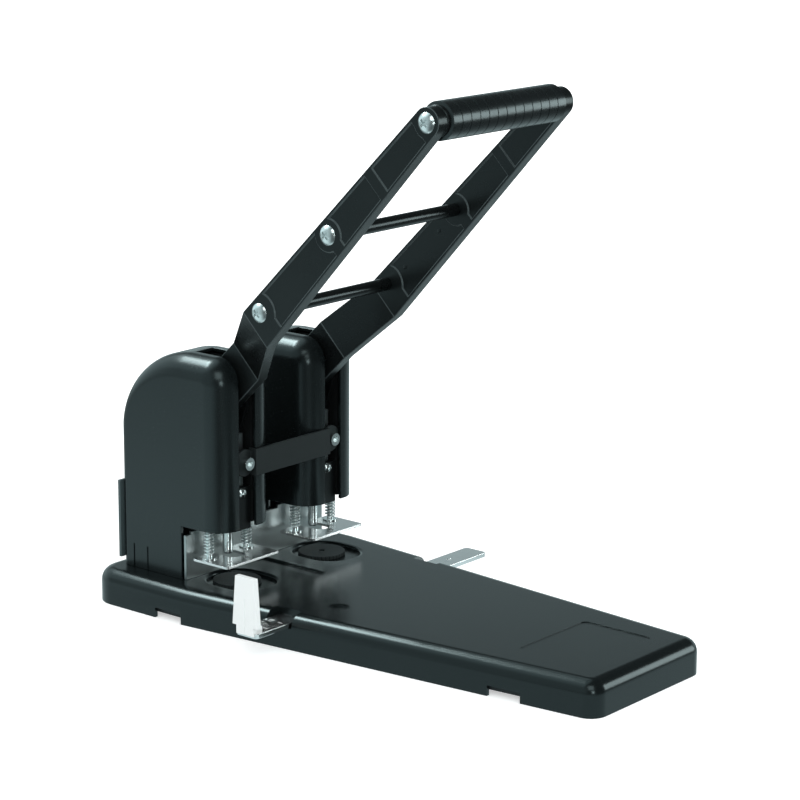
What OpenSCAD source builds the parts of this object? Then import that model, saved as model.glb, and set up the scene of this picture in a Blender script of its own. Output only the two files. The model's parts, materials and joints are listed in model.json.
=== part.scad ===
// Heavy-duty two-hole lever punch.
// X runs across the punch, -Y points to the user and +Z is up.
// The origin lies on the resting plane, midway between the two hole axes.

/* [Punching] */
// Distance between the two hole centres
hole_pitch = 80; // [79:0.5:84]
// Outside diameter of the punch tubes
punch_d = 6; // [5:0.25:6.5]
// Wall of the punch tubes
punch_wall = 0.8; // [0.5:0.1:1.2]
// Distance from the hole centres back to the paper stop
stop_distance = 13; // [12:0.5:15]
// Height of the paper stack that fits under the clamps
stack_h = 13.6; // [12.6:0.2:14]

/* [Base] */
// Height of the base cover
base_h = 21.7; // [20.7:0.1:23]
// Width of the base at the heads
base_rear_w = 165; // [162:0.5:174]
// Width of the base at its front edge
base_front_w = 108; // [98:0.5:120]
// Length of the base in front of the hole centres
base_front = 292.7; // [270:1:310]
// Length of the base behind the hole centres
base_rear = 80; // [73:0.5:82]
// Wall of the base cover
base_wall = 2.4; // [1.8:0.1:2.6]
// Plan radius of the front corners of the base
base_corner_r = 11; // [10:0.1:14]
// Plan radius of the rear corners of the base
base_rear_r = 18; // [14:0.5:22]
// Radius that rounds the upper edge of the base
base_edge_r = 8.5; // [6:0.1:9.5]
// Height of the pry notches in the side walls
notch_h = 6.5; // [5:0.5:7.5]
// Length of the pry notches
notch_len = 22; // [16:1:26]
// Place of the rear pry notches behind the hole centres
notch_rear_y = 11.5; // [8:0.5:16]
// Place of the front pry notches in front of the hole centres
notch_front_y = 232.5; // [215:0.5:245]
// Width of the shallow panel recess on the base
panel_w = 66; // [50:1:70]
// Length of the shallow panel recess
panel_len = 48.5; // [40:0.5:52]
// Place of the panel recess centre in front of the hole centres
panel_y = 246.5; // [235:0.5:255]
// Depth of the panel recess
panel_depth = 0.5; // [0.3:0.1:1]
// Width of the channel pressed into the base between the heads
channel_w = 10; // [8:0.5:12]
// Length of the channel in front of the hole centres
channel_len = 43; // [36:0.5:50]
// Depth of the channel
channel_depth = 1.5; // [1:0.1:2]
// Diameter of the round dimple
dimple_d = 14; // [12:0.5:16]
// Place of the dimple to the left of the centre line
dimple_x = 43; // [36:0.5:50]
// Place of the dimple in front of the hole centres
dimple_y = 94.4; // [90:0.2:110]

/* [Base plate and pan] */
// Thickness of the steel base plate
plate_t = 5; // [4:0.25:5.5]
// Space between the base plate and the sides of the base
plate_gap = 8.5; // [7:0.1:12]
// Length of the base plate in front of the hole centres
plate_front = 34; // [30:1:40]
// Length of the base plate behind the hole centres
plate_rear = 64; // [62:0.5:66]
// Height of the pan floor above the resting plane
pan_rise = 3.3; // [2.5:0.1:3.5]
// Wall of the bottom pan
pan_wall = 1.6; // [1.2:0.1:2]
// Height of the pan rim above the resting plane
pan_rim = 10.4; // [8:0.2:10.6]
// Diameter of the rubber feet
foot_d = 16; // [12:0.5:18]

/* [Cutting discs] */
// Diameter of a cutting disc
disc_d = 30.3; // [28:0.1:32]
// Distance of the disc centres in front of the hole centres
disc_offset = 7.6; // [7:0.1:9]
// Thickness of a disc above its recess
disc_t = 2.3; // [2:0.1:2.6]
// Depth of the disc recess
recess_depth = 2.7; // [2.5:0.1:3]
// Radius of the disc recess
recess_r = 18.5; // [17.5:0.1:19.5]
// Run of the recess in front of the disc centre
recess_run = 8; // [4:0.5:10]
// Diameter of the disc hub
hub_d = 12; // [10:0.5:13]
// Diameter of the pins that the discs turn on
disc_pin_d = 4; // [3:0.25:5]
// Notches in the rim of a disc
knurl_count = 36; // [24:1:40]

/* [Paper stop and rear plate] */
// Thickness of the paper stop
stop_t = 2; // [1.5:0.1:2.5]
// Height of the paper stop above the base
stop_h = 30.3; // [28:0.1:32]
// Margin of the paper stop outside a head centre
stop_margin = 23.8; // [22:0.1:25]
// Thickness of the rear plate
rear_plate_t = 2; // [1.5:0.1:2.5]
// Lower edge of the rear plate above the base
rear_plate_gap = 4.8; // [4:0.1:6]
// Height of the rear plate
rear_plate_h = 50.2; // [48:0.2:56]
// Margin of the rear plate outside the head covers
rear_plate_margin = 1.3; // [0:0.1:3]

/* [Heads] */
// Width of a head cover
head_w = 49.4; // [49:0.1:54]
// Height of the head covers above the resting plane
head_h = 164; // [162:0.5:168]
// Front face of the heads in front of the hole centres
head_front = 17.5; // [17.3:0.1:18.5]
// Rear face of the heads behind the hole centres
head_rear = 68; // [67.5:0.1:69]
// Radius of the large arc at the top rear
head_rear_r = 50; // [46:0.5:50]
// Radius of the arc at the top front
head_front_r = 16; // [15:0.2:18]
// Radius that rounds the side faces into the front, top and rear
head_edge_r = 14; // [10:0.5:14]
// Radius of the upright rear edges of the head covers
head_rear_edge_r = 4.5; // [3:0.1:8]
// Wall of the head covers
head_wall = 2.2; // [1.8:0.1:2.4]
// Underside of the heads above the resting plane
throat_z = 56; // [55.5:0.1:57]
// Width of the slot that the lever arm moves in
slot_w = 15; // [14.6:0.1:16]
// Rear end of the slot on top of the head
slot_back = 18; // [16:0.5:24]
// Height of the two slits beside the snap tab
slit_h = 15.3; // [12:0.5:18]
// Place of the first slit behind the hole centres
slit_y = 46; // [42:0.5:50]
// Distance between the slits
slit_gap = 11.8; // [8:0.2:12]
// Thickness of the cheeks of a head frame
cheek_t = 5; // [4:0.1:5.4]
// Width of the column of a head frame
column_w = 34; // [30:0.5:38]
// Rear face of a head frame behind the hole centres
frame_rear = 60; // [58:0.5:61]

/* [Lever] */
// Rest angle of the lever above the horizontal
lever_rest = 44.6; // [43:0.2:46]
// Swing of the lever from rest to fully pressed
lever_swing = 44; // [40:0.5:44]
// Pivot of the lever behind the hole centres
pivot_y = 12.5; // [12:0.1:13.5]
// Pivot of the lever above the resting plane
pivot_z = 130.5; // [130:0.1:132]
// Diameter of the pivot shafts
pivot_d = 10; // [8:0.5:11]
// Distance from the pivot to the grip axis
lever_len = 270.2; // [250:1:290]
// Distance from the pivot to the lower crossbar
bar_lower_u = 92.6; // [90:0.5:96]
// Distance from the pivot to the upper crossbar
bar_upper_u = 168.2; // [160:0.5:176]
// Offset of the crossbars and the grip above the arm centre line
bar_v = 6.1; // [5:0.1:6.5]
// Thickness of the lever arms
arm_t = 8; // [7:0.2:8]
// Half width of the arms at the pivot
arm_root_r = 14.4; // [13.5:0.1:14.6]
// Radius of the arm ends at the grip
arm_end_r = 8.9; // [8.5:0.1:9.5]
// Distance between the outer faces of the arms
arm_spread = 126; // [124:0.5:130]
// Start of the bend that spreads the arms
bend_start = 46.1; // [45:0.5:48]
// End of the bend that spreads the arms
bend_end = 82.8; // [80:0.5:84]
// Depth of the recessed panels in the arms
arm_panel_depth = 0.8; // [0.5:0.1:1.2]
// Margin of plain metal round the recessed panels
arm_panel_margin = 1.9; // [1.5:0.1:2.5]
// Diameter of the crossbars
crossbar_d = 8; // [7:0.5:10]
// Diameter of the heads of the arm screws
arm_screw_head_d = 12; // [10:0.5:13]
// Height of the heads of the arm screws
arm_screw_head_h = 2.8; // [2:0.1:3.5]
// Diameter of the shanks of the arm screws
arm_screw_d = 5; // [4:0.5:5]

/* [Grip] */
// Outside diameter of the grip
grip_d = 22.6; // [20:0.2:26]
// Number of rings on the grip
grip_rings = 13; // [10:1:16]
// Depth of the grooves between the rings
grip_groove = 0.6; // [0.3:0.1:1]
// Diameter of the steel rod in the grip
grip_rod_d = 10; // [8:0.5:11]
// Width of the collars at the ends of the grip
collar_w = 2.5; // [1.5:0.5:4]

/* [Carriage] */
// Travel of the punches over the full swing
punch_travel = 15.3; // [14:0.1:15.4]
// Diameter of the drive pins
drive_pin_d = 6; // [5:0.25:6]
// Front face of the carriage blocks in front of the hole centres
block_front = 13; // [12.6:0.1:13.2]
// Depth of the carriage blocks
block_depth = 21.7; // [21:0.1:21.7]
// Underside of the carriage blocks above the resting plane
block_z = 54; // [53:0.1:55.4]
// Upper edge of the solid part of a carriage block
block_top = 81; // [79:0.2:82]
// Upper edge of the carriage tongues
tongue_top = 115; // [112:0.5:115]
// Width of the carriage tongues
tongue_w = 8; // [6:0.2:8.4]
// Front face of the tongues in front of the hole centres
tongue_front = 9.7; // [9:0.1:10]
// Height of the tie bar
tie_h = 17; // [15:0.2:18]
// Thickness of the tie bar
tie_t = 2; // [1.6:0.1:2]
// Centre of the tie bar above the resting plane
tie_z = 97.2; // [96:0.1:98]

/* [Clamps] */
// Width of a clamp plate
clamp_w = 47.6; // [46:0.2:48]
// Front edge of the clamp plates in front of the hole centres
clamp_front = 21.8; // [20:0.2:23]
// Rear edge of the clamp plates behind the hole centres
clamp_rear = 7.8; // [7:0.1:9]
// Thickness of the clamp plates
clamp_t = 1.5; // [1.2:0.1:1.8]
// Travel of the clamps over the full swing
clamp_travel = 13.3; // [12:0.1:13.3]
// Width of the cut-out in a clamp plate
cutout_w = 12.6; // [11:0.1:13]
// Front end of the cut-out in front of the hole centres
cutout_front = 11.8; // [11:0.1:13.6]
// Diameter of the sight hole in a clamp plate
sight_d = 3; // [2:0.1:3.4]
// Place of the sight hole in front of the hole centres
sight_y = 15.8; // [15:0.1:18]
// Distance between the two rods of a clamp
rod_pitch = 34; // [33:0.2:34.4]
// Diameter of the clamp rods
rod_d = 3.8; // [3:0.1:4]
// Outside diameter of the clamp springs
spring_d = 6.9; // [6.6:0.1:7.2]
// Wire of the clamp springs
spring_wire = 0.9; // [0.7:0.05:1]
// Curls of a clamp spring
spring_curls = 9; // [7:1:10]

/* [Side guide] */
// Width of the rule
rule_w = 16.8; // [15:0.1:17.4]
// Thickness of the rule
rule_t = 3; // [2.5:0.1:3.2]
// Upper face of the rule above the resting plane
rule_z = 17; // [16.8:0.1:17.2]
// Centre line of the rule in front of the hole centres
rule_y = 74.1; // [72:0.1:78]
// Left end of the rule
rule_left = 103.6; // [100:0.5:112]
// Right end of the rule
rule_right = 117.3; // [108:0.5:126]
// Height of the paper guide above the rule
guide_h = 34; // [28:0.5:40]
// Width of the paper guide at its foot
guide_w = 19.8; // [17:0.2:22]
// Width of the paper guide at its top
guide_top_w = 15; // [12:0.2:17]
// Thickness of the paper guide
guide_t = 3.6; // [2.6:0.1:4.5]
// Inner ends of the rule passages, from the centre line
passage_x = 64; // [60:0.5:68]

/* [Hidden] */
$fn = 48;

// Clearances shared by all fits
fit_gap = 0.3;
bore_gap = 0.05;
slot_gap = 0.1;
seat_gap = 0.02;
cut_over = 1;

// Heads and hole centres
left = -1;
right = 1;
head_x = hole_pitch / 2;
disc_floor_z = base_h - recess_depth;
disc_top_z = disc_floor_z + disc_t;
plate_top_z = disc_floor_z - base_wall;
plate_z = plate_top_z - plate_t;
stop_rear_y = stop_distance + stop_t;
stop_foot = 22;
leg_front = stop_rear_y + 1.3;
clamp_top_z = base_h + stack_h + clamp_t;
punch_tip_z = clamp_top_z;

// Base outline
base_slope = (base_rear_w - base_front_w) / 2 / base_front;
base_slope_len = sqrt(1 + base_slope * base_slope);
function base_half(y) = y < 0 ? base_rear_w / 2 + base_slope * y : base_rear_w / 2;

// Side view of a head, from the resting plane
rear_arc_y = head_rear - head_rear_r;
rear_arc_z = head_h - head_rear_r;
front_arc_y = head_front_r - head_front;
front_arc_z = head_h - head_front_r;
frame_inset = head_wall + 1.3;
frame_front = head_front - frame_inset;
frame_low_z = throat_z + 2;
cheek_in = slot_w / 2;
cheek_out = cheek_in + cheek_t;
web_front = block_depth - block_front + fit_gap;
web_top_z = pivot_z - arm_root_r - 4;
ear_z = throat_z + 4;
ear_t = 7;
ear_depth = 12;
ear_half = head_w / 2 - head_wall - 0.8;
slit_w = 0.8;

// Fasteners
bolt_d = 6;
bolt_head_d = 10;
bolt_head_h = 4.5;
bolt_len = 18;
bolt_inset = 10;
bolt_ys = [stop_rear_y + bolt_inset, frame_rear - bolt_inset];
cover_screw_d = 4;
cover_screw_head_d = 8;
cover_screw_head_h = 2.4;
cover_screw_len = 16;
cover_screw_zs = [
    base_h + rear_plate_gap + rear_plate_h * 0.263, base_h + rear_plate_gap + rear_plate_h * 0.82
];
boss_d = 10;
foot_inset = 24;

// Lever
arm_angle = lever_rest;
arm_in = arm_spread / 2 - arm_t;
arm_belly = arm_root_r - 1.6;
pin_reach = punch_travel / 2 / sin(lever_swing / 2);
pin_u = pin_reach * cos(arm_angle - lever_swing / 2);
pin_v = -pin_reach * sin(arm_angle - lever_swing / 2);
pin_rest_y = pivot_y - pin_reach * cos(lever_swing / 2);
pin_mid_y = pivot_y - pin_reach;
pin_rest_z = pivot_z + punch_travel / 2;
pin_half = cheek_in - 0.4;
scallop_r = 10;
end_scallop_r = arm_end_r + 0.3;
root_scallop_r = 12.5;
rib_u = 217.8;
rib_w = 7.5;
screw_rod_depth = 12;

// Carriage
block_half = slot_w / 2 - fit_gap;
yoke_in = arm_t / 2 + fit_gap;
yoke_top_z = pin_rest_z + drive_pin_d / 2 + 3;
tongue_rear = 6;
yoke_front = 6;
yoke_reach = 12.6;
yoke_rise = 17;
yoke_heel = 6;
frame_step = 12;
tie_boss_d = 12;
tie_front = head_front + fit_gap + tie_t;
lobe_front = block_front + 2.5;
lobe_t = 2;
tie_bend_x = head_x - block_half;
tie_bolt_d = 5;
tie_bolt_head_d = 8;
tie_bolt_head_h = tie_front - lobe_front - 0.1;
holder_screw_z = 77.5;
holder_screw_d = 4;
holder_screw_head_d = 7;
holder_screw_head_h = 2;

// Return springs that lift the carriages
lug_drop = 12;
lug_z = web_top_z - lug_drop;
lug_h = 5;
lug_rear = 18;
lug_half = 4.2;
pocket_half = 5;
pocket_rear = 20;
return_spring_len = 30;
pocket_z = lug_z - return_spring_len;
return_spring_y = (web_front + pocket_rear) / 2;
return_spring_d = 8;
return_wire = 1.2;
return_curls = 6;

// Clamps
rod_x = rod_pitch / 2;
seat_d = 9.2;
seat_h = 0.8;
ear_top_z = ear_z + ear_t;
rod_top_z = ear_top_z + clamp_travel + 4;
clip_z = ear_top_z + clamp_travel + fit_gap;
clip_h = 1;

// Side guide
rule_bottom_z = rule_z - rule_t;
passage_gap = 1.1;
passage_wall = 2;
passage_drop = 0.6;
track_xs = [-28, 28];
track_len = 14;
track_wall = 1.5;
track_flange = 6;
rule_hole_d = 3.2;
rule_hole_inset = 29;

// Places a child in both heads
module at_heads() {
    for (side = [left, right]) {
        translate([side * head_x, 0, 0]) children();
    }
}

// Places a child in one head
module at_head(side) {
    translate([side * head_x, 0, 0]) children();
}

// Turns a shape so that its axis runs along X
module along_x() {
    rotate([90, 0, 90]) children();
}

// Turns a shape so that its axis runs towards the front
module along_front() {
    rotate([90, 0, 0]) children();
}

// Rectangle with two or four rounded corners, from its low corner
module rounded_rect(size, r) {
    union() {
        translate([r, 0]) square([size[0] - 2 * r, size[1]]);
        translate([0, r]) square([size[0], size[1] - 2 * r]);
        for (x = [r, size[0] - r], y = [r, size[1] - r]) {
            translate([x, y]) circle(r = r);
        }
    }
}

// One corner of the base, turned about its own upright axis
module base_corner(plan_r, inset, low) {
    r = plan_r - inset;
    edge = base_edge_r - inset;
    top = base_h - inset;
    rotate_extrude($fn = 32) {
        union() {
            translate([0, low]) square([r, top - edge - low]);
            translate([0, low]) square([r - edge, top - low]);
            intersection() {
                translate([r - edge, top - edge]) circle(r = edge, $fn = 32);
                translate([0, top - edge]) square([r, edge]);
            }
        }
    }
}

// Centres and radii of the base corners: rear, taper start and front
front_corner_y = -base_front + base_corner_r;
front_corner_x = base_half(front_corner_y) - base_corner_r * base_slope_len;
base_corners = [
    [base_rear_w / 2 - base_rear_r, base_rear - base_rear_r, base_rear_r],
    [base_rear_w / 2 - base_corner_r, 0, base_corner_r],
    [front_corner_x, front_corner_y, base_corner_r]
];

// Tapered base with rounded corners and a rounded upper edge
module base_body(inset, low) {
    hull() {
        for (c = base_corners, side = [left, right]) {
            translate([side * c[0], c[1], 0]) base_corner(c[2], inset, low);
        }
    }
}

// Plan outline of the base, shrunk by an inset
module base_outline(inset) {
    hull() {
        for (c = base_corners, side = [left, right]) {
            translate([side * c[0], c[1]]) circle(r = c[2] - inset, $fn = 32);
        }
    }
}

// Plan of a disc recess about the disc centre
module recess_outline(r) {
    union() {
        circle(r = r);
        translate([0, -recess_run]) circle(r = r);
        translate([-r, -recess_run]) square([2 * r, recess_run]);
    }
}

// Plan of the channel between the heads
module channel_outline(grow) {
    half = channel_w / 2 + grow;
    union() {
        translate([-half, -channel_len + channel_w / 2]) {
            square([2 * half, channel_len - channel_w / 2 + stop_distance]);
        }
        translate([0, -channel_len + channel_w / 2]) circle(r = half);
    }
}

// Walls that box in the passage of the rule at one side
module passage_block(side) {
    y0 = -rule_y - rule_w / 2 - passage_gap - passage_wall;
    width = rule_w + 2 * passage_gap + 2 * passage_wall;
    z0 = rule_bottom_z - passage_drop - passage_wall;
    len = base_rear_w / 2 - passage_x + passage_wall;
    x0 = side > 0 ? passage_x - passage_wall : -passage_x + passage_wall - len;
    translate([x0, y0, z0]) cube([len, width, base_h - base_wall / 2 - z0]);
}

// Opening that the rule leaves the base through at one side
module passage_cut(side) {
    y0 = -rule_y - rule_w / 2 - passage_gap;
    width = rule_w + 2 * passage_gap;
    z0 = rule_bottom_z - passage_drop;
    len = base_rear_w / 2 - passage_x + cut_over;
    x0 = side > 0 ? passage_x : -passage_x - len;
    translate([x0, y0, z0]) cube([len, width, base_h - z0 + cut_over]);
    slot_z0 = rule_bottom_z - fit_gap;
    slot_x = side > 0 ? passage_x - passage_wall - cut_over : -passage_x - cut_over;
    translate([slot_x, -rule_y - rule_w / 2 - fit_gap, slot_z0]) {
        cube([passage_wall + 2 * cut_over, rule_w + 2 * fit_gap, rule_t + 2 * fit_gap]);
    }
}

module base_cover() {
    color([0.17, 0.19, 0.20])
    difference() {
        union() {
            difference() {
                base_body(0, 0);
                base_body(base_wall, -cut_over);
            }
            at_heads() translate([0, -disc_offset, plate_top_z]) {
                linear_extrude(base_h - base_wall / 2 - plate_top_z) {
                    recess_outline(recess_r + base_wall);
                }
            }
            translate([0, 0, base_h - channel_depth - base_wall]) {
                linear_extrude(channel_depth + base_wall / 2) channel_outline(base_wall);
            }
            translate([-dimple_x, -dimple_y, base_h - base_wall - 1]) {
                cylinder(d = dimple_d + base_wall, h = base_wall / 2 + 1);
            }
            intersection() {
                base_body(base_wall / 2, 0);
                union() {
                    for (side = [left, right]) passage_block(side);
                }
            }
        }
        at_heads() translate([0, -disc_offset, disc_floor_z]) {
            linear_extrude(recess_depth + cut_over) recess_outline(recess_r);
        }
        at_heads() translate([0, -disc_offset, plate_top_z - cut_over]) {
            cylinder(d = hub_d + 2 * fit_gap, h = recess_depth + base_wall + cut_over);
        }
        translate([0, 0, base_h - channel_depth]) {
            linear_extrude(channel_depth + cut_over) channel_outline(0);
        }
        translate([-dimple_x, -dimple_y, base_h - 1.2]) {
            cylinder(d = dimple_d - 4, h = 3);
        }
        translate([-dimple_x, -dimple_y, base_h - 0.6]) {
            cylinder(d1 = dimple_d - 2, d2 = dimple_d, h = 0.6 + seat_gap);
        }
        translate([-panel_w / 2, -panel_y - panel_len / 2, base_h - panel_depth]) {
            linear_extrude(panel_depth + cut_over) rounded_rect([panel_w, panel_len], 4);
        }
        for (y = [notch_rear_y, -notch_front_y]) {
            translate([-base_rear_w / 2 - cut_over, y - notch_len / 2, -cut_over]) {
                cube([base_rear_w + 2 * cut_over, notch_len, notch_h + cut_over]);
            }
        }
        for (side = [left, right]) passage_cut(side);
        at_heads() translate([-column_w / 2 - fit_gap, stop_rear_y - fit_gap, plate_top_z]) {
            cube([column_w + 2 * fit_gap, frame_rear - stop_rear_y + 2 * fit_gap, base_h]);
        }
    }
}

module base_plate() {
    half = base_rear_w / 2 - plate_gap;
    color([0.55, 0.57, 0.58])
    translate([0, 0, plate_z])
    difference() {
        linear_extrude(plate_t) {
            translate([-half, -plate_front]) {
                rounded_rect([2 * half, plate_front + plate_rear], 8);
            }
        }
        at_heads() {
            for (y = bolt_ys) {
                translate([0, y, -cut_over]) cylinder(d = bolt_d + 2 * seat_gap, h = plate_t + 2 * cut_over);
            }
            translate([0, -disc_offset, -cut_over]) {
                cylinder(d = disc_pin_d + 2 * seat_gap, h = plate_t + 2 * cut_over);
            }
        }
    }
}

// Places of the rubber feet: one under the load between the heads, two behind, two in front
foot_places = [
    [0, 0],
    for (side = [left, right]) [side * (base_rear_w / 2 - foot_inset), base_rear - foot_inset],
    for (side = [left, right]) [side * (front_corner_x - 6), -base_front + foot_inset]
];

module bottom_pan() {
    gap = base_wall + fit_gap;
    color([0.11, 0.12, 0.13])
    difference() {
        union() {
            difference() {
                translate([0, 0, pan_rise]) linear_extrude(pan_rim - pan_rise) base_outline(gap);
                translate([0, 0, pan_rise + pan_wall]) {
                    linear_extrude(pan_rim) base_outline(gap + pan_wall);
                }
            }
            for (p = foot_places) {
                translate([p[0], p[1], pan_rise]) cylinder(d = foot_d + 4, h = pan_wall + 1);
            }
        }
        for (p = foot_places) {
            translate([p[0], p[1], pan_rise - cut_over]) {
                cylinder(d = foot_d + 2 * seat_gap, h = cut_over + 1);
            }
        }
    }
}

module rubber_feet() {
    color([0.07, 0.07, 0.07])
    for (p = foot_places) {
        translate([p[0], p[1], 0]) {
            cylinder(d1 = foot_d - 1.6, d2 = foot_d, h = 0.8);
            translate([0, 0, 0.8]) cylinder(d = foot_d, h = pan_rise + 1 - 0.8);
        }
    }
}

module back_stop() {
    half = head_x + stop_margin;
    step_x = 4.8;
    step_h = 1.7;
    color([0.78, 0.80, 0.80])
    union() {
        translate([-half, stop_distance, base_h]) {
            cube([2 * half, stop_t, stop_h - step_h]);
        }
        for (side = [left, right]) {
            low = head_x - stop_margin;
            x0 = side > 0 ? low + step_x : -half + step_x;
            translate([x0, stop_distance, base_h]) cube([half - low - 2 * step_x, stop_t, stop_h]);
        }
        translate([-head_x + head_w / 2 + fit_gap, stop_distance, base_h]) {
            cube([2 * head_x - head_w - 2 * fit_gap, stop_foot, stop_t]);
        }
    }
}

module rear_plate() {
    half = head_x + head_w / 2 + rear_plate_margin;
    z0 = base_h + rear_plate_gap;
    color([0.12, 0.13, 0.14])
    difference() {
        translate([-half, head_rear, z0]) cube([2 * half, rear_plate_t, rear_plate_h]);
        at_heads() for (z = cover_screw_zs) {
            translate([0, head_rear - cut_over, z]) rotate([-90, 0, 0]) {
                cylinder(d = cover_screw_d + 2 * seat_gap, h = rear_plate_t + 2 * cut_over);
            }
        }
    }
}

module frame_bolts() {
    color([0.30, 0.31, 0.32])
    at_heads() for (y = bolt_ys) {
        translate([0, y, plate_z - bolt_head_h]) {
            difference() {
                cylinder(d = bolt_head_d, h = bolt_head_h);
                translate([0, 0, -cut_over]) cylinder(d = bolt_d - 1, h = cut_over + 2.5, $fn = 6);
            }
        }
        translate([0, y, plate_z]) cylinder(d = bolt_d, h = bolt_len);
    }
}

module cover_screws() {
    y0 = head_rear + rear_plate_t;
    color([0.62, 0.64, 0.65])
    at_heads() for (z = cover_screw_zs) {
        translate([0, y0, z]) rotate([-90, 0, 0]) {
            difference() {
                cylinder(d = cover_screw_head_d, h = cover_screw_head_h);
                for (a = [0, 90]) {
                    rotate([0, 0, a]) translate([-2, -0.4, 1.2]) cube([4, 0.8, 3]);
                }
            }
        }
        translate([0, y0, z]) rotate([90, 0, 0]) cylinder(d = cover_screw_d, h = cover_screw_len);
    }
}

module rule_tracks() {
    inner_w = rule_w + 2 * fit_gap;
    outer_w = inner_w + 2 * track_wall;
    top_z = base_h - base_wall;
    low_z = rule_bottom_z - fit_gap - track_wall;
    color([0.60, 0.62, 0.63])
    for (x = track_xs) {
        difference() {
            union() {
                translate([x - track_len / 2, -rule_y - outer_w / 2, low_z]) {
                    cube([track_len, outer_w, top_z - low_z]);
                }
                translate([x - track_len / 2, -rule_y - outer_w / 2 - track_flange, top_z - track_wall]) {
                    cube([track_len, outer_w + 2 * track_flange, track_wall]);
                }
            }
            translate([x - track_len, -rule_y - inner_w / 2, rule_bottom_z - fit_gap]) {
                cube([2 * track_len, inner_w, rule_t + 2 * fit_gap]);
            }
        }
    }
}

module disc_pivots() {
    color([0.70, 0.72, 0.72])
    at_heads() translate([0, -disc_offset, plate_z]) {
        cylinder(d = disc_pin_d, h = disc_top_z - 0.8 - plate_z);
    }
}

// Disc of quarter-turn section: a quarter of the head's end with rounded rims
module head_quarter(r, half, edge) {
    along_x() rotate_extrude(angle = 90) {
        union() {
            translate([0, -half]) square([r - edge, 2 * half]);
            translate([0, -half + edge]) square([r, 2 * (half - edge)]);
            for (s = [left, right]) {
                translate([r - edge, s * (half - edge)]) {
                    intersection() {
                        circle(r = edge);
                        translate([0, s > 0 ? 0 : -edge]) square([edge, edge]);
                    }
                }
            }
        }
    }
}

// Rear arc whose rounded rims narrow from the top radius to the rear radius.
// It ends inside its neighbours and lies a hair under their faces.
module head_rear_arc(r, half, edge, rear_edge) {
    steps = 12;
    hull() {
        for (k = [0 : steps]) rotate([90 * k / steps, 0, 0]) {
            e = rear_edge + (edge - rear_edge) * pow(sin(90 * k / steps), 1.2);
            end = k == 0 || k == steps;
            translate([0, 0, k == 0 ? -0.5 : 0]) linear_extrude(end ? 0.5 : 0.02) {
                translate([-half, 0]) square([2 * half, 1]);
                for (s = [left, right]) {
                    translate([s * (half - e), r - e]) circle(r = e, $fn = 40);
                }
            }
        }
    }
}

// Outer or inner form of a head, shrunk by an inset, from a low level up
module head_body(inset, low) {
    half = head_w / 2 - inset;
    edge = head_edge_r - inset;
    rear_edge = inset > 0 ? edge : head_rear_edge_r;
    rear = head_rear - inset;
    front = head_front - inset;
    top = head_h - inset;
    union() {
        translate([0, rear_arc_y, rear_arc_z]) {
            if (inset > 0) head_quarter(head_rear_r - inset, half, edge);
            else head_rear_arc(head_rear_r - seat_gap, half - seat_gap, edge, rear_edge);
        }
        translate([0, front_arc_y, front_arc_z]) rotate([90, 0, 0]) {
            head_quarter(head_front_r - inset, half, edge);
        }
        translate([0, 0, low]) linear_extrude(rear_arc_z - low) union() {
            translate([-half, rear_arc_y]) square([2 * half, rear - rear_edge - rear_arc_y]);
            translate([-half + rear_edge, rear_arc_y]) {
                square([2 * (half - rear_edge), rear - rear_arc_y]);
            }
            for (s = [left, right]) {
                translate([s * (half - rear_edge), rear - rear_edge]) circle(r = rear_edge);
            }
        }
        translate([0, 0, low]) linear_extrude(front_arc_z - low) union() {
            translate([-half, -front + edge]) square([2 * half, front_arc_y + front - edge]);
            translate([-half + edge, -front]) square([2 * (half - edge), front_arc_y + front]);
            for (s = [left, right]) {
                translate([s * (half - edge), -front + edge]) circle(r = edge);
            }
        }
        translate([0, rear_arc_y, 0]) along_front() {
            linear_extrude(rear_arc_y - front_arc_y) union() {
                translate([-half, low]) square([2 * half, top - edge - low]);
                translate([-half + edge, low]) square([2 * (half - edge), top - low]);
                for (s = [left, right]) {
                    translate([s * (half - edge), top - edge]) circle(r = edge);
                }
            }
        }
    }
}

module head_cover(side) {
    low = base_h - 6;
    color([0.20, 0.23, 0.24])
    difference() {
        at_head(side) difference() {
            head_body(0, low);
            head_body(head_wall, low - cut_over);
            translate([-head_w / 2 - cut_over, -head_front - cut_over, low - cut_over]) {
                cube([
                    head_w + 2 * cut_over,
                    head_front + leg_front + cut_over,
                    throat_z - low + cut_over
                ]);
            }
            translate([-slot_w / 2, -head_front - cut_over, throat_z - cut_over]) {
                cube([slot_w, head_front + slot_back + cut_over, head_h - throat_z + 2 * cut_over]);
            }
            for (y = [slit_y, slit_y + slit_gap]) {
                translate([side > 0 ? 0 : -head_w / 2 - cut_over, y - slit_w / 2, low]) {
                    cube([head_w / 2 + cut_over, slit_w, base_h - low + slit_h]);
                }
            }
            for (z = cover_screw_zs) {
                translate([0, head_rear + cut_over, z]) rotate([90, 0, 0]) {
                    cylinder(d = cover_screw_d + 2 * seat_gap, h = head_wall + 2 * cut_over);
                }
            }
        }
        base_body(0, 0);
    }
}

// Side view of a head in Y and Z, shrunk by an inset
module head_side(inset) {
    front = head_front - inset;
    rear = head_rear - inset;
    union() {
        translate([-front, 0]) square([front + rear_arc_y, front_arc_z]);
        translate([rear_arc_y, 0]) square([rear - rear_arc_y, rear_arc_z]);
        translate([front_arc_y, 0]) square([rear_arc_y - front_arc_y, head_h - inset]);
        translate([front_arc_y, front_arc_z]) circle(r = head_front_r - inset);
        intersection() {
            translate([rear_arc_y, rear_arc_z]) circle(r = head_rear_r - inset);
            translate([rear_arc_y, rear_arc_z]) square([head_rear_r, head_rear_r]);
        }
    }
}

// Side view of a cheek of the head frame
module cheek_side() {
    intersection() {
        head_side(frame_inset);
        translate([-frame_front, frame_low_z]) square([frame_front + frame_rear, head_h]);
    }
}

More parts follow.
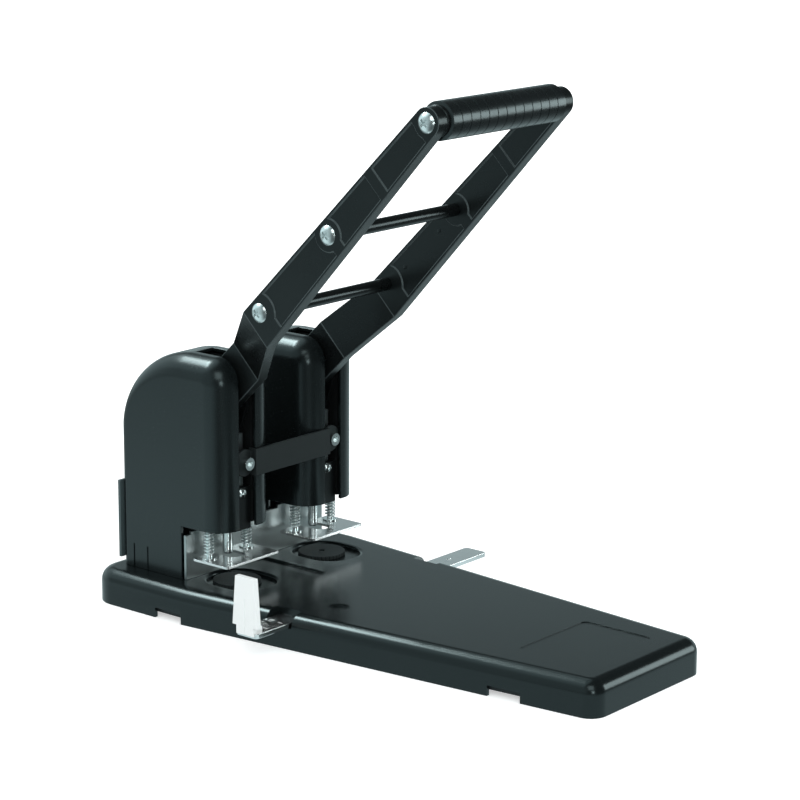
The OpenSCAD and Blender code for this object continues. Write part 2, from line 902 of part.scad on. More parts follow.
module head_frame(side) {
    color([0.33, 0.35, 0.36])
    at_head(side) difference() {
        union() {
            for (s = [left, right]) {
                translate([s > 0 ? cheek_in : -cheek_out, 0, 0]) {
                    along_x() linear_extrude(cheek_t) cheek_side();
                }
            }
            translate([-column_w / 2, stop_rear_y, plate_top_z]) {
                cube([column_w, frame_rear - stop_rear_y, throat_z + frame_step - plate_top_z]);
            }
            translate([-cheek_out, web_front, frame_low_z]) {
                cube([2 * cheek_out, frame_rear - web_front, web_top_z - frame_low_z]);
            }
            for (s = [left, right]) {
                x0 = s > 0 ? cheek_in : -ear_half;
                translate([x0, -ear_depth / 2, ear_z]) cube([ear_half - cheek_in, ear_depth, ear_t]);
            }
            for (z = cover_screw_zs) {
                translate([0, frame_rear - cut_over, z]) rotate([-90, 0, 0]) {
                    cylinder(d = boss_d, h = head_rear - head_wall - frame_rear + cut_over);
                }
            }
        }
        for (z = cover_screw_zs) {
            translate([0, head_rear, z]) rotate([90, 0, 0]) {
                cylinder(d = cover_screw_d + 2 * seat_gap, h = cover_screw_len);
            }
        }
        for (y = bolt_ys) {
            translate([0, y, plate_top_z - cut_over]) {
                cylinder(d = bolt_d + 2 * seat_gap, h = bolt_len - plate_t + cut_over + 1);
            }
        }
        for (s = [left, right]) {
            translate([s * rod_x, 0, ear_z - cut_over]) {
                cylinder(d = rod_d + 2 * bore_gap, h = ear_t + 2 * cut_over);
            }
        }
        translate([-cheek_out - cut_over, pivot_y, pivot_z]) along_x() {
            cylinder(d = pivot_d + 2 * seat_gap, h = 2 * cheek_out + 2 * cut_over);
        }
        translate([-pocket_half, web_front - cut_over, pocket_z]) {
            cube([2 * pocket_half, pocket_rear - web_front + cut_over, web_top_z]);
        }
    }
}

module pivot_shafts() {
    half = cheek_out + 2.4;
    color([0.68, 0.70, 0.70])
    at_heads() difference() {
        translate([-half, pivot_y, pivot_z]) along_x() cylinder(d = pivot_d, h = 2 * half);
        for (s = [left, right]) {
            translate([s * (cheek_out + 1.1) - 0.6, pivot_y, pivot_z]) along_x() difference() {
                cylinder(d = pivot_d + 2, h = 1.2);
                translate([0, 0, -cut_over]) cylinder(d = pivot_d - 2, h = 1.2 + 2 * cut_over);
            }
        }
    }
}

module pivot_clips() {
    color([0.45, 0.46, 0.47])
    at_heads() for (s = [left, right]) {
        translate([s * (cheek_out + 1.1) - 0.5, pivot_y, pivot_z]) along_x() difference() {
            cylinder(d = pivot_d + 5, h = 1);
            translate([0, 0, -cut_over]) cylinder(d = pivot_d - 2 + 2 * seat_gap, h = 1 + 2 * cut_over);
            translate([-(pivot_d - 3) / 2, -pivot_d, -cut_over]) cube([pivot_d - 3, pivot_d, 3]);
        }
    }
}

module cutting_disc(side) {
    color([0.14, 0.16, 0.17])
    at_head(side) translate([0, -disc_offset, 0]) difference() {
        union() {
            translate([0, 0, disc_floor_z + bore_gap]) cylinder(d = disc_d, h = disc_t - bore_gap);
            translate([0, 0, plate_top_z + fit_gap]) {
                cylinder(d = hub_d, h = disc_floor_z - plate_top_z);
            }
        }
        translate([0, 0, plate_top_z - cut_over]) {
            cylinder(d = disc_pin_d + 2 * bore_gap, h = base_h);
        }
        for (k = [0 : knurl_count - 1]) {
            rotate([0, 0, k * 360 / knurl_count]) translate([disc_d / 2, 0, disc_floor_z - cut_over]) {
                rotate([0, 0, 45]) translate([-0.4, -0.4, 0]) cube([0.8, 0.8, disc_t + 2 * cut_over]);
            }
        }
    }
}

// Places a lever part drawn with x along the arm, y across it and z sideways
module lever_frame() {
    translate([0, pivot_y, pivot_z]) rotate([-arm_angle, 0, 0]) rotate([90, 0, -90]) children();
}

// Side view of an arm, along it and across it
module arm_side() {
    top_v = bar_v + arm_end_r;
    union() {
        circle(r = arm_root_r);
        translate([lever_len, bar_v]) circle(r = arm_end_r);
        polygon([
            [0, -arm_root_r], [bend_start, -arm_root_r], [bend_end, -arm_belly],
            [lever_len, bar_v - arm_end_r], [lever_len, top_v], [bend_start, arm_root_r],
            [0, arm_root_r]
        ]);
    }
}

// Plan of the left arm: along it and sideways
module arm_plan() {
    low = head_x - arm_t / 2;
    polygon([
        [-arm_root_r - cut_over, low], [bend_start, low], [bend_end, arm_in],
        [lever_len + arm_end_r + cut_over, arm_in],
        [lever_len + arm_end_r + cut_over, arm_in + arm_t],
        [bend_end, arm_in + arm_t], [bend_start, low + arm_t],
        [-arm_root_r - cut_over, low + arm_t]
    ]);
}

// Lower and upper edge of an arm at a distance from the pivot
function arm_low(u) =
    let (t = (u - bend_end) / (lever_len - bend_end))
    -arm_belly + t * (bar_v - arm_end_r + arm_belly);
function arm_high(u) =
    let (t = (u - bend_start) / (lever_len - bend_start))
    arm_root_r + t * (bar_v + arm_end_r - arm_root_r);

// Recessed panel between two stations, scalloped round the screws
module arm_panel(u0, u1) {
    m = arm_panel_margin;
    difference() {
        polygon([
            [u0, arm_low(u0) + m], [u1, arm_low(u1) + m],
            [u1, arm_high(u1) - m], [u0, arm_high(u0) - m]
        ]);
        translate([bar_lower_u, bar_v]) circle(r = root_scallop_r);
        translate([bar_upper_u, bar_v]) circle(r = scallop_r);
        translate([lever_len, bar_v]) circle(r = end_scallop_r);
    }
}

// Recessed panels along an arm, parted at the crossbar and at the rib
module arm_panels() {
    arm_panel(bar_lower_u + 8, bar_upper_u - 3);
    arm_panel(bar_upper_u + 6, rib_u - rib_w / 2);
    arm_panel(rib_u + rib_w / 2, lever_len - end_scallop_r + 1);
}

module lever_arm(side) {
    outer = arm_in + arm_t;
    color([0.15, 0.17, 0.18])
    mirror([side > 0 ? 1 : 0, 0, 0]) lever_frame() difference() {
        intersection() {
            linear_extrude(outer + cut_over) arm_side();
            translate([0, arm_root_r + cut_over + 4, 0]) along_front() {
                linear_extrude(2 * arm_root_r + 10) arm_plan();
            }
        }
        translate([0, 0, outer - arm_panel_depth]) linear_extrude(2 * cut_over) {
            arm_panels();
        }
        translate([0, 0, arm_in - cut_over]) linear_extrude(cut_over + arm_panel_depth) {
            arm_panels();
        }
        for (u = [bar_lower_u, bar_upper_u, lever_len]) {
            translate([u, bar_v, arm_in - cut_over]) {
                cylinder(d = arm_screw_d + 2 * seat_gap, h = arm_t + 2 * cut_over);
            }
        }
        translate([0, 0, head_x - arm_t]) cylinder(d = pivot_d + 2 * bore_gap, h = 2 * arm_t);
        translate([pin_u, pin_v, head_x - arm_t]) {
            cylinder(d = drive_pin_d + 2 * seat_gap, h = 2 * arm_t);
        }
    }
}

// Round bar between the arms at a distance from the pivot
module cross_rod(u, d) {
    lever_frame() translate([u, bar_v, -arm_in]) difference() {
        cylinder(d = d, h = 2 * arm_in);
        for (z = [-cut_over, 2 * arm_in - screw_rod_depth]) {
            translate([0, 0, z]) {
                cylinder(d = arm_screw_d + 2 * seat_gap, h = screw_rod_depth + cut_over);
            }
        }
    }
}

module crossbar(u) {
    color([0.10, 0.11, 0.12]) cross_rod(u, crossbar_d);
}

module grip_rod() {
    color([0.60, 0.62, 0.63]) cross_rod(lever_len, grip_rod_d);
}

// Half profile of the ribbed sleeve: radius over length
function ring_points(k, pitch, z0) = [
    [grip_d / 2 - grip_groove, z0 + k * pitch],
    [grip_d / 2, z0 + k * pitch + grip_groove],
    [grip_d / 2, z0 + (k + 1) * pitch - grip_groove]
];

module grip_sleeve() {
    half = arm_in - collar_w;
    pitch = 2 * half / grip_rings;
    bore = grip_rod_d / 2 + seat_gap;
    rim = [for (k = [0 : grip_rings - 1]) each ring_points(k, pitch, -half)];
    color([0.13, 0.15, 0.16])
    lever_frame() translate([lever_len, bar_v, 0]) rotate_extrude() {
        polygon(concat(
            [[bore, -half]], rim, [[grip_d / 2 - grip_groove, half], [bore, half]]
        ));
    }
}

module grip_collars() {
    color([0.08, 0.09, 0.09])
    lever_frame() for (s = [left, right]) {
        translate([lever_len, bar_v, s > 0 ? arm_in - collar_w : -arm_in]) difference() {
            cylinder(d = grip_d - 4, h = collar_w);
            translate([0, 0, -cut_over]) {
                cylinder(d = grip_rod_d + 2 * seat_gap, h = collar_w + 2 * cut_over);
            }
        }
    }
}

// Domed head with a cross recess, drawn upwards from its seat
module cross_head(d, h) {
    dome_r = (d * d / 4 + h * h) / (2 * h);
    difference() {
        intersection() {
            cylinder(d = d, h = h);
            translate([0, 0, h - dome_r]) sphere(r = dome_r);
        }
        for (a = [0, 90]) {
            rotate([0, 0, a]) translate([-d * 0.24, -d * 0.05, h * 0.4]) {
                cube([d * 0.48, d * 0.1, h]);
            }
        }
    }
}

module arm_screws() {
    outer = arm_in + arm_t;
    color([0.80, 0.82, 0.82])
    lever_frame() for (u = [bar_lower_u, bar_upper_u, lever_len], s = [left, right]) {
        translate([u, bar_v, s * outer]) rotate([s > 0 ? 0 : 180, 0, 0]) {
            cross_head(arm_screw_head_d, arm_screw_head_h);
            translate([0, 0, -arm_t - screw_rod_depth + 1]) {
                cylinder(d = arm_screw_d, h = arm_t + screw_rod_depth - 1);
            }
        }
    }
}

module drive_pins() {
    color([0.68, 0.70, 0.70])
    lever_frame() for (s = [left, right]) {
        translate([pin_u, pin_v, s * head_x - pin_half]) cylinder(d = drive_pin_d, h = 2 * pin_half);
    }
}

// Side view of a yoke cheek above the carriage block, in Y and Z
module yoke_side() {
    slot_r = drive_pin_d / 2 + slot_gap;
    slot_rear = pin_rest_y + 0.6;
    slot_front = pin_mid_y - 0.6;
    difference() {
        polygon([
            [-yoke_front, block_top - cut_over], [-yoke_front, tongue_top],
            [-yoke_reach, tongue_top + yoke_rise], [-yoke_reach, yoke_top_z], [-2, yoke_top_z],
            [tongue_rear, tongue_top + yoke_heel], [tongue_rear, block_top - cut_over]
        ]);
        translate([slot_rear, pin_rest_z]) circle(r = slot_r);
        translate([slot_front, pin_rest_z]) circle(r = slot_r);
        translate([slot_front, pin_rest_z - slot_r]) {
            square([slot_rear - slot_front, 2 * slot_r]);
        }
    }
}

module carriage_block(side) {
    punch_r = punch_d / 2 + seat_gap;
    color([0.12, 0.13, 0.14])
    at_head(side) difference() {
        union() {
            translate([-block_half, -block_front, block_z]) {
                cube([2 * block_half, block_depth, block_top - block_z]);
            }
            for (s = [left, right]) {
                translate([s > 0 ? yoke_in : -block_half, 0, 0]) along_x() {
                    linear_extrude(block_half - yoke_in) yoke_side();
                }
            }
            translate([-block_half, tongue_rear - 4, block_top - cut_over]) {
                cube([2 * block_half, 4, tongue_top - block_top - 6]);
            }
            translate([-lug_half, tongue_rear - cut_over, lug_z]) {
                cube([2 * lug_half, lug_rear - tongue_rear + cut_over, lug_h]);
            }
        }
        translate([0, 0, block_z - cut_over]) cylinder(r = punch_r, h = block_top - block_z - 4);
        translate([0, -block_front, holder_screw_z]) rotate([-90, 0, 0]) {
            translate([0, 0, -cut_over]) {
                cylinder(d = holder_screw_d + 2 * seat_gap, h = block_front - punch_d / 2 + cut_over);
            }
        }
    }
}

module carriage_tongue(side) {
    rear = tongue_rear - 4 - seat_gap;
    color([0.70, 0.72, 0.72])
    at_head(side) difference() {
        translate([-tongue_w / 2, -tongue_front, block_top]) {
            cube([tongue_w, tongue_front + rear, tongue_top - block_top]);
        }
        translate([0, -tongue_front, tie_z]) rotate([-90, 0, 0]) {
            translate([0, 0, -cut_over]) cylinder(d = tie_bolt_d + 2 * seat_gap, h = 9 + cut_over);
        }
    }
}

module punch(side) {
    top = block_top - 5;
    color([0.84, 0.86, 0.86])
    at_head(side) difference() {
        translate([0, 0, punch_tip_z]) {
            cylinder(d1 = punch_d - punch_wall, d2 = punch_d, h = 0.8);
            translate([0, 0, 0.8]) cylinder(d = punch_d, h = top - punch_tip_z - 0.8);
        }
        translate([0, 0, punch_tip_z - cut_over]) {
            cylinder(d = punch_d - 2 * punch_wall, h = top - punch_tip_z + 2 * cut_over);
        }
    }
}

module tie_bar() {
    lobe_r = tie_h / 2 + 0.1;
    color([0.17, 0.19, 0.20])
    difference() {
        union() {
            translate([-tie_bend_x, -tie_front, tie_z - tie_h / 2]) {
                cube([2 * tie_bend_x, tie_t, tie_h]);
            }
            for (s = [left, right]) {
                translate([s > 0 ? tie_bend_x : -tie_bend_x - tie_t, -tie_front, tie_z - tie_h / 2]) {
                    cube([tie_t, tie_front - lobe_front + lobe_t, tie_h]);
                }
                translate([s * head_x, -lobe_front + lobe_t, tie_z]) along_front() {
                    linear_extrude(lobe_t) intersection() {
                        circle(r = lobe_r);
                        translate([-block_half, -lobe_r]) square([2 * block_half, 2 * lobe_r]);
                    }
                }
                translate([s * head_x, -tongue_front, tie_z]) along_front() {
                    cylinder(d = tie_boss_d, h = lobe_front - tongue_front - lobe_t / 2);
                }
            }
        }
        for (s = [left, right]) {
            translate([s * head_x, -tongue_front + cut_over, tie_z]) along_front() {
                cylinder(d = tie_bolt_d + 2 * seat_gap, h = lobe_front);
            }
        }
    }
}

module tie_bolts() {
    color([0.82, 0.84, 0.84])
    at_heads() translate([0, -lobe_front, tie_z]) {
        along_front() difference() {
            cylinder(d = tie_bolt_head_d, h = tie_bolt_head_h);
            translate([0, 0, tie_bolt_head_h - 2]) cylinder(d = 4.6, h = 3, $fn = 6);
        }
        rotate([-90, 0, 0]) cylinder(d = tie_bolt_d, h = lobe_front - tongue_front + 8);
    }
}

module holder_screws() {
    color([0.82, 0.84, 0.84])
    at_heads() translate([0, -block_front, holder_screw_z]) {
        along_front() cross_head(holder_screw_head_d, holder_screw_head_h);
        rotate([-90, 0, 0]) cylinder(d = holder_screw_d, h = block_front - punch_d / 2 - 0.3);
    }
}

// Path of a wound spring, unrolled: length round the coil, height and slope.
// Each end runs straight up for one wire diameter, then bends into the helix.
function spring_bend(wire) = wire * 1.1;
function spring_path(r, height, wire, curls) =
    let (
        steps = 8 * curls,
        bend = spring_bend(wire),
        rise = height - 2 * wire - 2 * bend,
        run = 2 * PI * r * curls,
        slope = atan(rise / run),
        arc = 3
    )
    concat(
        [[0, 0, 90], [0, wire, 90]],
        [for (k = [1 : arc - 1])
            let (a = 90 - (90 - slope) * k / arc)
            [bend - bend * sin(a), wire + bend * cos(a), a]],
        [for (k = [0 : steps])
            [bend + run * k / steps, wire + bend + rise * k / steps, slope]],
        [for (k = [arc - 1 : -1 : 1])
            let (a = 90 - (90 - slope) * k / arc)
            [bend + run + bend * sin(a), height - wire - bend * cos(a), a]],
        [[2 * bend + run, height - wire, 90], [2 * bend + run, height, 90]]
    );

// Point on the coil for an unrolled length and height
function wrap(r, p) = let (a = p[0] / r * 180 / PI) [r * cos(a), r * sin(a), p[1]];

// One six-sided ring of the wire round a path point
function wire_ring(r, p, wire) =
    let (
        a = p[0] / r * 180 / PI,
        out = [cos(a), sin(a), 0],
        round_dir = [-sin(a), cos(a), 0],
        up = -sin(p[2]) * round_dir + cos(p[2]) * [0, 0, 1],
        c = wrap(r, p)
    )
    [for (k = [0 : 5]) c + wire / 2 * (cos(60 * k) * out + sin(60 * k) * up)];

// Least gap between turns of the coil, measured on its path points
function spring_gap(r, path, wire) =
    min([
        for (i = [0 : len(path) - 1], j = [i + 5 : 1 : len(path) - 1])
            norm(wrap(r, path[i]) - wrap(r, path[j])) - wire
    ]);

module coil_spring(d, height, wire, curls) {
    r = (d - wire) / 2;
    path = spring_path(r, height, wire, curls);
    n = len(path);
    points = [for (p = path) each wire_ring(r, p, wire)];
    sides = [
        for (i = [0 : n - 2], k = [0 : 5])
            let (a = 6 * i + k, b = 6 * i + (k + 1) % 6)
            each [[a, b, b + 6], [a, b + 6, a + 6]]
    ];
    start_cap = [for (k = [1 : 4]) [0, k + 1, k]];
    end_cap = [for (k = [1 : 4]) [6 * n - 6, 6 * n - 6 + k, 6 * n - 5 + k]];
    echo("least gap of the spring to itself", spring_gap(r, path, wire));
    polyhedron(points = points, faces = concat(sides, start_cap, end_cap), convexity = 10);
}

module return_spring(side) {
    color([0.72, 0.74, 0.74])
    at_head(side) translate([0, return_spring_y, pocket_z]) {
        coil_spring(return_spring_d, lug_z - pocket_z, return_wire, return_curls);
    }
}

// Plan of a clamp plate in one head
module clamp_outline() {
    difference() {
        translate([-clamp_w / 2, -clamp_front]) {
            rounded_rect([clamp_w, clamp_front + clamp_rear], 1.5);
        }
        translate([-cutout_w / 2, cutout_w / 2 - cutout_front]) {
            square([cutout_w, clamp_rear + cutout_w]);
        }
        translate([0, cutout_w / 2 - cutout_front]) circle(d = cutout_w);
        translate([0, -sight_y]) circle(d = sight_d);
    }
}

module clamp_plate(side) {
    color([0.80, 0.82, 0.82])
    at_head(side) translate([0, 0, clamp_top_z - clamp_t]) difference() {
        linear_extrude(clamp_t) clamp_outline();
        for (s = [left, right]) {
            translate([s * rod_x, 0, -cut_over]) {
                cylinder(d = rod_d + 2 * seat_gap, h = clamp_t + 2 * cut_over);
            }
        }
    }
}

module clamp_rods(side) {
    color([0.76, 0.78, 0.78])
    at_head(side) for (s = [left, right]) {
        translate([s * rod_x, 0, 0]) difference() {
            union() {
                translate([0, 0, clamp_top_z - clamp_t + 0.2]) {
                    cylinder(d = rod_d, h = rod_top_z - clamp_top_z + clamp_t - 0.2);
                }
                translate([0, 0, clamp_top_z]) cylinder(d = seat_d, h = seat_h);
            }
            translate([0, 0, clip_z]) difference() {
                cylinder(d = rod_d + 2, h = clip_h + 0.2);
                translate([0, 0, -cut_over]) cylinder(d = rod_d - 1, h = clip_h + 3);
            }
        }
    }
}

module rod_clips(side) {
    color([0.45, 0.46, 0.47])
    at_head(side) for (s = [left, right]) {
        translate([s * rod_x, 0, clip_z + 0.1]) difference() {
            cylinder(d = rod_d + 3.4, h = clip_h);
            translate([0, 0, -cut_over]) cylinder(d = rod_d - 1 + 2 * seat_gap, h = clip_h + 2 * cut_over);
            translate([-(rod_d - 1.6) / 2, -rod_d, -cut_over]) cube([rod_d - 1.6, rod_d, 3]);
        }
    }
}

module clamp_spring(side, s) {
    z0 = clamp_top_z + seat_h;
    color([0.74, 0.76, 0.76])
    at_head(side) translate([s * rod_x, 0, z0]) rotate([0, 0, s > 0 ? 200 : 20]) {
        coil_spring(spring_d, ear_z - z0, spring_wire, spring_curls);
    }
}

module rule_bar() {
    color([0.16, 0.18, 0.18])
    difference() {
        translate([-rule_left, -rule_y - rule_w / 2, rule_bottom_z]) {
            linear_extrude(rule_t) rounded_rect([rule_left + rule_right, rule_w], 2.5);
        }
        translate([rule_right - rule_hole_inset, -rule_y, rule_bottom_z - cut_over]) {
            cylinder(d = rule_hole_d, h = rule_t + 2 * cut_over);
        }
    }
}

module paper_guide() {
    foot_h = 3.6;
    lip_drop = 1.6;
    lip_w = guide_w - 6;
    color([0.93, 0.94, 0.94])
    difference() {
        union() {
            translate([-rule_left - 1, -rule_y, rule_z]) along_x() {
                linear_extrude(guide_t) polygon([
                    [-lip_w / 2, 0], [lip_w / 2, 0], [lip_w / 2, foot_h], [guide_w / 2, foot_h],
                    [guide_top_w / 2, guide_h], [-guide_top_w / 2, guide_h],
                    [-guide_w / 2, foot_h], [-lip_w / 2, foot_h]
                ]);
            }
            translate([-rule_left - 1, -rule_y - lip_w / 2, rule_z - lip_drop]) {
                cube([1 - bore_gap, lip_w, lip_drop + cut_over]);
            }
            translate([-rule_left - 1, -rule_y - 5, rule_z]) cube([10, 10, foot_h - 1]);
        }
        translate([-rule_left - 1.5, -rule_y - 0.4, rule_z - lip_drop - cut_over]) {
            cube([0.9, 0.8, guide_h * 0.65 + cut_over]);
        }
    }
}

base_cover();
base_plate();
bottom_pan();
rubber_feet();
back_stop();
rear_plate();
frame_bolts();
cover_screws();
rule_tracks();
disc_pivots();
head_frame(left);  // head_frame_left
head_frame(right);  // head_frame_right
head_cover(left);  // head_cover_left
head_cover(right);  // head_cover_right
pivot_shafts();
pivot_clips();
cutting_disc(left);  // cutting_disc_left
cutting_disc(right);  // cutting_disc_right
lever_arm(left);  // lever_arm_left
lever_arm(right);  // lever_arm_right
crossbar(bar_lower_u);  // crossbar_lower
crossbar(bar_upper_u);  // crossbar_upper
grip_rod();
grip_sleeve();
grip_collars();
arm_screws();
drive_pins();
carriage_block(left);  // carriage_block_left
carriage_block(right);  // carriage_block_right
carriage_tongue(left);  // carriage_tongue_left
carriage_tongue(right);  // carriage_tongue_right
punch(left);  // punch_left
punch(right);  // punch_right
tie_bar();
tie_bolts();
holder_screws();
return_spring(left);  // return_spring_left
return_spring(right);  // return_spring_right
clamp_plate(left);  // clamp_plate_left
clamp_plate(right);  // clamp_plate_right
clamp_rods(left);  // clamp_rods_left
clamp_rods(right);  // clamp_rods_right
rod_clips(left);  // rod_clips_left
rod_clips(right);  // rod_clips_right
clamp_spring(left, left);  // clamp_spring_left_outer
clamp_spring(left, right);  // clamp_spring_left_inner
clamp_spring(right, left);  // clamp_spring_right_inner
clamp_spring(right, right);  // clamp_spring_right_outer
rule_bar();
paper_guide();
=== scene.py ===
"""Looks of a heavy-duty two-hole lever punch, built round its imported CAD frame.

Lengths are metres unless a name ends in _mm. X runs across the punch, -Y points to its user
and +Z is up, as in the CAD model.
"""

import json
import logging
import math
from dataclasses import dataclass
from enum import Enum
from typing import Callable, Mapping, Optional, Sequence, Tuple, Union

import bmesh
import bpy
import numpy as np
from mathutils import Matrix


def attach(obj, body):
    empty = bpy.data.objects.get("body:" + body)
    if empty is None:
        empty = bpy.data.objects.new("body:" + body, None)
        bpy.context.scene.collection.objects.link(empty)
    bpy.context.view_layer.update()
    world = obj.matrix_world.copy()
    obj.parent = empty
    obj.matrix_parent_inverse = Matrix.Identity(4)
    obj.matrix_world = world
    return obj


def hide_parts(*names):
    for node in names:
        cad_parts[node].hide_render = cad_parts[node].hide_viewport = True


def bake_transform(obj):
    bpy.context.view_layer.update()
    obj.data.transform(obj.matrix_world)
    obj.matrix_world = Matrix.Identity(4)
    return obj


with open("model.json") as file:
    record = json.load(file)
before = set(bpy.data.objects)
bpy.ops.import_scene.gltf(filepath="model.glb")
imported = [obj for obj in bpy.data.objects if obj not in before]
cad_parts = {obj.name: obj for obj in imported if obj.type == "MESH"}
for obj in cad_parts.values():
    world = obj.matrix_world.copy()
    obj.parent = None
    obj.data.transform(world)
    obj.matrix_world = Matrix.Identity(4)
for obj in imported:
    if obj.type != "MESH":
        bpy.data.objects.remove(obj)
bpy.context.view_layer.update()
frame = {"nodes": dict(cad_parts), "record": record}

LOG = logging.getLogger("punch")
MM = 0.001

Array = np.ndarray
Piece = bpy.types.Object
Pair = Tuple[float, float]
Triple = Tuple[float, float, float]
Colour = Triple
Number = Union[int, float]
Shares = Callable[[Array, Array, Array], Array]
BLACK: Colour = (0.0, 0.0, 0.0)
WHITE: Colour = (1.0, 1.0, 1.0)
COOL: Colour = (0.86, 1.0, 1.02)  # sheen of the dark coats
AIR: Colour = (0.78, 1.0, 1.03)  # what glossy rays see of the studio
DAY: Colour = (0.97, 1.0, 1.0)  # diffuse light of the studio
LAMP: Colour = (0.88, 1.0, 1.0)  # light of the lamps
LINE_STRETCH = 12.0  # length of a ground line over its width
EDGE_HIGHLIGHT = "worn"  # face attribute of rounded edges that get a painted highlight
MERGE_MM = 0.003  # CAD corners nearer than this are one
THIN_MM = 0.002  # CAD edges shorter than this vanish
FLAT_DEG = 0.6  # CAD faces that bend by less are one


class Side(Enum):
    """The punch's two sides, as its user sees them."""

    LEFT = -1
    RIGHT = 1

    @property
    def word(self) -> str:
        """Name of the side in node names."""
        return self.name.lower()


class Axis(Enum):
    """Direction that a rolled or ground finish runs in."""

    X = (1.0, LINE_STRETCH, LINE_STRETCH)
    Z = (LINE_STRETCH, LINE_STRETCH, 1.0)


# ---------------------------------------------------------------- shader maths


class Wire:
    """A shader socket that takes part in Python arithmetic."""

    def __init__(self, shader: "Shader", socket: bpy.types.NodeSocket) -> None:
        """Keep the node tree and the socket."""
        self.shader = shader
        self.socket = socket

    def __add__(self, other: Union["Wire", Number]) -> "Wire":
        """Sum of two values."""
        return self.shader.math("ADD", self, other)

    def __sub__(self, other: Union["Wire", Number]) -> "Wire":
        """Difference of two values."""
        return self.shader.math("SUBTRACT", self, other)

    def __rsub__(self, other: Number) -> "Wire":
        """Difference from a number."""
        return self.shader.math("SUBTRACT", other, self)

    def __mul__(self, other: Union["Wire", Number]) -> "Wire":
        """Product of two values."""
        return self.shader.math("MULTIPLY", self, other)

    def __truediv__(self, other: Union["Wire", Number]) -> "Wire":
        """Quotient of two values."""
        return self.shader.math("DIVIDE", self, other)

    __radd__ = __add__
    __rmul__ = __mul__

    def clamped(self) -> "Wire":
        """The value held between 0 and 1."""
        return self.shader.math("ADD", self, 0.0, clamp=True)

    def above(self, limit: Number) -> "Wire":
        """1 where the value is above a limit, else 0."""
        return self.shader.math("GREATER_THAN", self, limit)

    def step(self, low: Number, high: Number) -> "Wire":
        """0 below low, 1 above high and t * t * (3 - 2 * t) between them."""
        t = ((self - low) / (high - low)).clamped()
        return t * t * (3.0 - t * 2.0)

    def dot(self, way: Sequence[float]) -> "Wire":
        """Length of a vector along a direction."""
        settings = {"operation": "DOT_PRODUCT"}
        node = self.shader.add("ShaderNodeVectorMath", settings, {0: self, 1: tuple(way)})
        return self.shader.out(node, "Value")


Input = Union[Wire, Number, Sequence[float]]


class Shader:
    """The node tree of one material, or of the world."""

    def __init__(self, tree: bpy.types.NodeTree) -> None:
        """Empty the tree."""
        self.tree = tree
        tree.nodes.clear()

    def add(
        self, kind: str, settings: Optional[Mapping[str, object]] = None,
        inputs: Optional[Mapping[Union[int, str], Input]] = None,
    ) -> bpy.types.Node:
        """Add a node.

        Args:
            kind: the node's type.
            settings: its properties; "stops" holds a ramp's (place, colour) pairs.
            inputs: values or wires for its sockets, by name or number.

        Returns:
            The node.
        """
        node = self.tree.nodes.new(kind)
        for key, value in (settings or {}).items():
            if key == "stops":
                ramp = node.color_ramp.elements
                while len(ramp) < len(value):
                    ramp.new(0.5)
                for stop, (place, colour) in zip(ramp, value):
                    stop.position = place
                    stop.color = (*colour, 1.0)
            else:
                setattr(node, key, value)
        for key, value in (inputs or {}).items():
            if isinstance(value, Wire):
                self.tree.links.new(value.socket, node.inputs[key])
            else:
                node.inputs[key].default_value = value
        return node

    def out(self, node: bpy.types.Node, key: Union[int, str] = 0) -> Wire:
        """One output of a node as a wire."""
        return Wire(self, node.outputs[key])

    def math(self, operation: str, a: Input, b: Input, clamp: bool = False) -> Wire:
        """A Math node on two values."""
        settings = {"operation": operation, "use_clamp": clamp}
        return self.out(self.add("ShaderNodeMath", settings, {0: a, 1: b}))

    def mix(self, factor: Input, a: Union[Colour, Wire], b: Union[Colour, Wire]) -> Wire:
        """A colour between two colours."""
        first = a if isinstance(a, Wire) else (*a, 1.0)
        second = b if isinstance(b, Wire) else (*b, 1.0)
        settings = {"data_type": "RGBA", "clamp_factor": True}
        node = self.add("ShaderNodeMix", settings, {0: factor, 6: first, 7: second})
        return self.out(node, 2)

    def place(self, stretch: Sequence[float] = (1.0, 1.0, 1.0)) -> Wire:
        """Object coordinates, stretched along the axes."""
        source = self.out(self.add("ShaderNodeTexCoord"), "Object")
        node = self.add("ShaderNodeMapping", {}, {"Vector": source, "Scale": tuple(stretch)})
        return self.out(node)

    def noise(
        self, grain_mm: float, detail: float = 2.0, stretch: Sequence[float] = (1.0, 1.0, 1.0)
    ) -> Wire:
        """Cloudy noise whose blotches are about grain_mm wide, from 0 to 1."""
        inputs = {"Vector": self.place(stretch), "Scale": 1.0 / (grain_mm * MM), "Detail": detail}
        return self.out(self.add("ShaderNodeTexNoise", {}, inputs), "Fac")

    def bump(self, height: Wire, depth_mm: float, strength: float = 1.0) -> Wire:
        """A normal roughened by a height from 0 to 1."""
        inputs = {"Height": height, "Distance": depth_mm * MM, "Strength": strength}
        return self.out(self.add("ShaderNodeBump", {}, inputs))

    def surface(self, inputs: Mapping[str, Input]) -> None:
        """End the tree in a principled surface."""
        body = self.out(self.add("ShaderNodeBsdfPrincipled", {}, inputs))
        self.add("ShaderNodeOutputMaterial", {}, {"Surface": body})


def new_material(name: str) -> Tuple[bpy.types.Material, Shader]:
    """An empty material and its shader."""
    material = bpy.data.materials.new(name)
    material.use_nodes = True
    return material, Shader(material.node_tree)


def scaled(colour: Colour, factor: float) -> Colour:
    """A colour made lighter or darker."""
    return tuple(min(1.0, channel * factor) for channel in colour)


# ---------------------------------------------------------------- finishes


